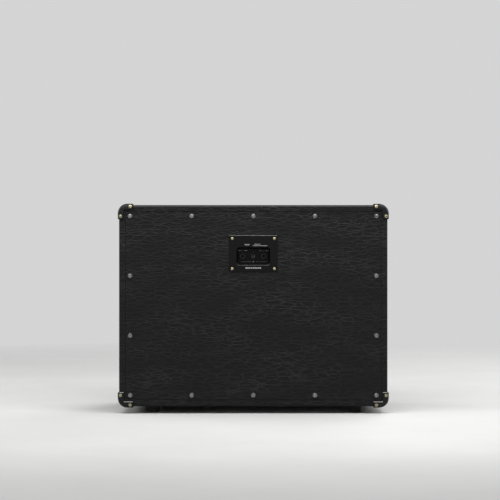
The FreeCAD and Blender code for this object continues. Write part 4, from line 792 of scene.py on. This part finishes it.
def moulded(name, node, finish):
    """A solid cast again with soft rims, in place of the solid."""
    piece = new_piece(name, merged_copy(node), finish)
    cast = piece.modifiers.new("cast", "REMESH")
    cast.mode = "VOXEL"
    cast.voxel_size = CORNER_VOXEL
    soften = piece.modifiers.new("soften", "SMOOTH")
    soften.iterations = CORNER_SMOOTHING
    thin = piece.modifiers.new("thin", "DECIMATE")
    thin.ratio = CORNER_KEEP_SHARE
    apply_modifiers(piece)
    piece.data.shade_smooth()
    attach(piece, "cabinet")
    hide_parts(node)
    print(name, len(piece.data.polygons), "faces")


for corner_node in ("rear_corners", "front_corners"):
    moulded(f"{corner_node}_moulded", corner_node, CORNER_PLASTIC)

# %% [markdown]
# ## Weave of the grille cloth
#
# The cloth on the front is a heavy basket weave: bundles of four threads pass over and under each
# other like a chequerboard. A checker pattern says which set of threads is on top, and each set
# is a row of round humps that arch down where they dive under the next bundle. Every thread has
# its own tint, drawn out along it, so that a few pale threads sparkle among the black. The tint is
# darkened where a thread is low, as painted shade on its sides and where it dives under.

# %% Threads
THREAD = 0.0011
THREADS_IN_BUNDLE = 4
BUNDLE = THREADS_IN_BUNDLE * THREAD
THREAD_DRAW = 0.07
THREAD_ARCH = (0.35, 1.0)
TINT_SIZE = 1.6 * THREAD
TINT_DETAIL, TINT_ROUGHNESS = 2.0, 0.6
TINT_NOISE = (0.40, 0.72)
TINT_AMOUNTS = (0.25, 1.0)


def humps(tree, place, pitch):
    """A row of round humps along one coordinate."""
    turn = math_node(tree, "MULTIPLY", place, math.pi / pitch)
    return math_node(tree, "ABSOLUTE", math_node(tree, "SINE", turn))


def thread_set(tree, across, along, draw):
    """Height and paleness of one set of threads: round across, arched along."""
    arch = spread(tree, humps(tree, along, BUNDLE), (0.0, 1.0), THREAD_ARCH)
    height = math_node(tree, "MULTIPLY", humps(tree, across, THREAD), arch)
    space = object_space(tree, draw)
    tint = noise(tree, space, TINT_SIZE, TINT_DETAIL, TINT_ROUGHNESS)["Fac"]
    return height, spread(tree, tint, TINT_NOISE, TINT_AMOUNTS)


# %% Weave
WEAVE_RELIEF = 0.0006
WEAVE_ROUGHNESS = 0.85
WEAVE_SPECULAR = 0.2
WEAVE_SHEEN = 0.15
CLOTH_COLOURS = (
    (0.00, (0.006, 0.006, 0.007)),
    (0.45, (0.022, 0.022, 0.024)),
    (0.75, (0.070, 0.070, 0.072)),
    (1.00, (0.300, 0.300, 0.295)),
)


def weave_finish():
    """A basket weave: bundles of four threads that pass over and under each other."""
    finish, tree, shader = new_finish("woven_grille")
    place = split(tree, object_space(tree))
    flat = add_node(tree, "ShaderNodeCombineXYZ", sockets={"Y": BUNDLE / 2})
    tree.links.new(place["X"], flat.inputs["X"])
    tree.links.new(place["Z"], flat.inputs["Z"])
    checker = add_node(tree, "ShaderNodeTexChecker", sockets={"Scale": 1.0 / BUNDLE})
    tree.links.new(flat.outputs["Vector"], checker.inputs["Vector"])
    turns = checker.outputs["Fac"]
    upright, upright_tint = thread_set(tree, place["X"], place["Z"], (1.0, 1.0, THREAD_DRAW))
    level, level_tint = thread_set(tree, place["Z"], place["X"], (THREAD_DRAW, 1.0, 1.0))
    height = mix(tree, "FLOAT", turns, upright, level)
    tint = mix(tree, "FLOAT", turns, upright_tint, level_tint)
    # Painted shade: the colour darkens with the height, on the sides of each thread and where it
    # dives under.
    tint = math_node(tree, "MULTIPLY", tint, height)
    tree.links.new(colours(tree, tint, CLOTH_COLOURS), shader.inputs["Base Color"])
    shader.inputs["Roughness"].default_value = WEAVE_ROUGHNESS
    shader.inputs["Specular IOR Level"].default_value = WEAVE_SPECULAR
    shader.inputs["Sheen Weight"].default_value = WEAVE_SHEEN
    raise_surface(tree, shader, height, WEAVE_RELIEF)
    return finish


WEAVE = weave_finish()
print("weave:", BUNDLE * 1000, "mm bundles of", THREAD * 1000, "mm threads")

# %% [markdown]
# ## Grille cloth
#
# The cloth is stretched over the baffle and stapled round its edges. It is one sheet: a grid for
# the face, its border pulled back over the baffle's edges, and the fold rounded. Over the two
# driver openings there is no wood behind it, and stretched cloth sinks there by less than a
# millimetre, which is enough to move the light on it. A Solidify gives it the thickness of cloth.

# %% Sheet
CLOTH_THICKNESS = 0.0008
CLOTH_STEP = 0.010
FOLD_ROUND = 0.0012
FOLD_SEGMENTS = 3
SINK = 0.0009


def cloth_grid(width, height, middle):
    """An upright grid that faces the front."""
    bm = bmesh.new()
    columns, rows = round(width / CLOTH_STEP), round(height / CLOTH_STEP)
    bmesh.ops.create_grid(bm, x_segments=columns, y_segments=rows, size=0.5)
    bmesh.ops.scale(bm, verts=bm.verts[:], vec=(width, height, 1.0))
    bmesh.ops.rotate(bm, verts=bm.verts[:], matrix=Matrix.Rotation(math.pi / 2, 3, "X"))
    bmesh.ops.translate(bm, verts=bm.verts[:], vec=middle)
    return bm


def turn_border_back(bm, back):
    """Pull the border straight back and round the fold."""
    border = [edge for edge in bm.edges if edge.is_boundary]
    turned = bmesh.ops.extrude_edge_only(bm, edges=border)
    rim = [item for item in turned["geom"] if isinstance(item, bmesh.types.BMVert)]
    bmesh.ops.translate(bm, verts=rim, vec=(0.0, back, 0.0))
    bmesh.ops.bevel(
        bm,
        geom=border,
        offset=FOLD_ROUND,
        segments=FOLD_SEGMENTS,
        profile=0.5,
        affect="EDGES",
        material=-1,
    )


def sink_over_drivers(bm, face_y):
    """Let the face sink a little where only air is behind it."""
    for side in SIDES:
        low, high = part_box(f"{side}_cone")
        middle = (low + high) / 2
        reach = (high.x - low.x) / 2
        for vert in bm.verts:
            away = math.hypot(vert.co.x - middle.x, vert.co.z - middle.z) / reach
            if away < 1.0 and vert.co.y < face_y + SINK:
                vert.co.y += SINK * (1.0 - away**2) ** 2


# %% Grille cloth
cloth_low, cloth_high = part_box("grille_cloth")
face_width = cloth_high.x - cloth_low.x - CLOTH_THICKNESS
face_height = cloth_high.z - cloth_low.z - CLOTH_THICKNESS
face_y = cloth_low.y + CLOTH_THICKNESS / 2
turned_back = cloth_high.y - face_y
face_middle = ((cloth_low.x + cloth_high.x) / 2, face_y, (cloth_low.z + cloth_high.z) / 2)

sheet = cloth_grid(face_width, face_height, face_middle)
turn_border_back(sheet, turned_back)
sink_over_drivers(sheet, face_y)
bmesh.ops.recalc_face_normals(sheet, faces=sheet.faces[:])
cloth = new_piece("stretched_grille_cloth", sheet, WEAVE)
wall = cloth.modifiers.new("thickness", "SOLIDIFY")
wall.thickness = CLOTH_THICKNESS
wall.offset = 0.0
cloth.data.shade_smooth()

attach(cloth, "cabinet")
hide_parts("grille_cloth")

# %% [markdown]
# ## Print on the jack plate
#
# The plate is printed in off-white: marks above the pan, a bracket and a number over each socket,
# a line under the sockets and a row of blocks below. Two upright strokes beside the switch are
# printed the same way as painted highlights on the slider's edges. Only plain marks and plain
# numbers are used here. Ink has almost no thickness, but two faces in one plane flicker, so each
# mark is a thin slab that stands a few hundredths of a millimetre proud. Marks are drawn flat, in
# the plate's own directions, and laid on the plate by one matrix.

# %% Ink
INK_SPECK = 0.0012
INK_DETAIL, INK_ROUGHNESS = 4.0, 0.7
INK_COLOURS = ((0.3, (0.16, 0.16, 0.155)), (0.6, (0.42, 0.42, 0.41)))
INK_ENDS = (0.3, 0.7)
INK_GLOSS = (0.75, 0.5)


def ink_finish():
    """Off-white screen print, thinner and greyer in places."""
    finish, tree, shader = new_finish("plate_ink")
    wear_and_highlight = noise(tree, object_space(tree), INK_SPECK, INK_DETAIL, INK_ROUGHNESS)["Fac"]
    tree.links.new(colours(tree, wear_and_highlight, INK_COLOURS), shader.inputs["Base Color"])
    tree.links.new(spread(tree, wear_and_highlight, INK_ENDS, INK_GLOSS), shader.inputs["Roughness"])
    return finish


INK = ink_finish()
print("ink:", INK.name)

# %% Marks
# Each bar: how far across and up from the plate's middle, its width and its height
FACE_BARS = (
    (-0.0159, 0.0233, 0.0130, 0.0013),
    (-0.0159, 0.0208, 0.0090, 0.0006),
    (0.0105, 0.0238, 0.0160, 0.0011),
    (0.0168, 0.0201, 0.0370, 0.0012),
)
BLOCK_ROW_UP = -0.0362
BLOCK_COUNT = 9
BLOCK_STEP = 0.0045
BLOCK_SIZE = (0.0034, 0.0036)
BRACKET_UP = 0.0078
BRACKET_SIZE = (0.0070, 0.0008)
LINE_UP = -0.0208
PAN_BARS = (
    (-0.0350, BRACKET_UP, *BRACKET_SIZE),
    (-0.0190, BRACKET_UP, *BRACKET_SIZE),
    (0.0190, BRACKET_UP, *BRACKET_SIZE),
    (0.0350, BRACKET_UP, *BRACKET_SIZE),
    (0.0000, LINE_UP, 0.0060, 0.0010),
    (-0.0205, LINE_UP, 0.0270, 0.0004),
    (0.0205, LINE_UP, 0.0270, 0.0004),
    # Two upright strokes beside the switch slot: painted highlights on the slider's edges.
    (-0.0033, -0.0065, 0.0008, 0.0085),
    (0.0033, -0.0065, 0.0008, 0.0085),
)
# Each number: what it says, and how far across and up
NUMBERS = (("1", -0.0270, BRACKET_UP), ("2", 0.0270, BRACKET_UP))
NUMBER_HEIGHT = 0.0052
print("marks:", len(FACE_BARS) + BLOCK_COUNT, "on the face,", len(PAN_BARS), "in the pan")

# %% Laying marks on the plate
INK_RISE = 0.00006
PLATE_LOW, PLATE_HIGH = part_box("jack_plate")
PLATE_MIDDLE_Z = (PLATE_LOW.z + PLATE_HIGH.z) / 2
SEEN_FROM_REAR = Matrix(((-1, 0, 0), (0, 0, 1), (0, 1, 0))).to_4x4()


def lay_on_plate(face_y):
    """The matrix that lays a flat drawing on a face of the plate, as seen from the rear."""
    return Matrix.Translation((0.0, face_y + INK_RISE / 2, PLATE_MIDDLE_Z)) @ SEEN_FROM_REAR


def add_bar(bm, across, up, width, height, lay):
    """One printed bar."""
    size = Matrix.Diagonal((width, height, INK_RISE, 1.0))
    shape = Matrix.Translation((across, up, 0.0)) @ size
    bmesh.ops.create_cube(bm, size=1.0, matrix=lay @ shape)


def add_number(bm, words, across, up, lay):
    """One printed number, from a text curve made a mesh."""
    curve = bpy.data.curves.new("number", "FONT")
    curve.body = words
    curve.size = NUMBER_HEIGHT
    curve.extrude = INK_RISE / 2
    curve.align_x = "CENTER"
    curve.align_y = "CENTER"
    holder = bpy.data.objects.new("number", curve)
    mesh = bpy.data.meshes.new_from_object(holder)
    mesh.transform(lay @ Matrix.Translation((across, up, 0.0)))
    bm.from_mesh(mesh)
    bpy.data.objects.remove(holder)


# %% Plate print
# The nuts sit on the pan, so their lowest corner gives its face.
PAN_FACE_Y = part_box("jack_nuts")[0].y

print_mesh = bmesh.new()
on_face = lay_on_plate(PLATE_HIGH.y)
on_pan = lay_on_plate(PAN_FACE_Y)
for bar in FACE_BARS:
    add_bar(print_mesh, *bar, on_face)
for count in range(BLOCK_COUNT):
    across = (count - (BLOCK_COUNT - 1) / 2) * BLOCK_STEP
    add_bar(print_mesh, across, BLOCK_ROW_UP, *BLOCK_SIZE, on_face)
for bar in PAN_BARS:
    add_bar(print_mesh, *bar, on_pan)
for number in NUMBERS:
    add_number(print_mesh, *number, on_pan)
bmesh.ops.recalc_face_normals(print_mesh, faces=print_mesh.faces[:])
plate_print = new_piece("plate_print", print_mesh, INK)
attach(plate_print, "cabinet")
print("plate print:", len(plate_print.data.polygons), "faces")
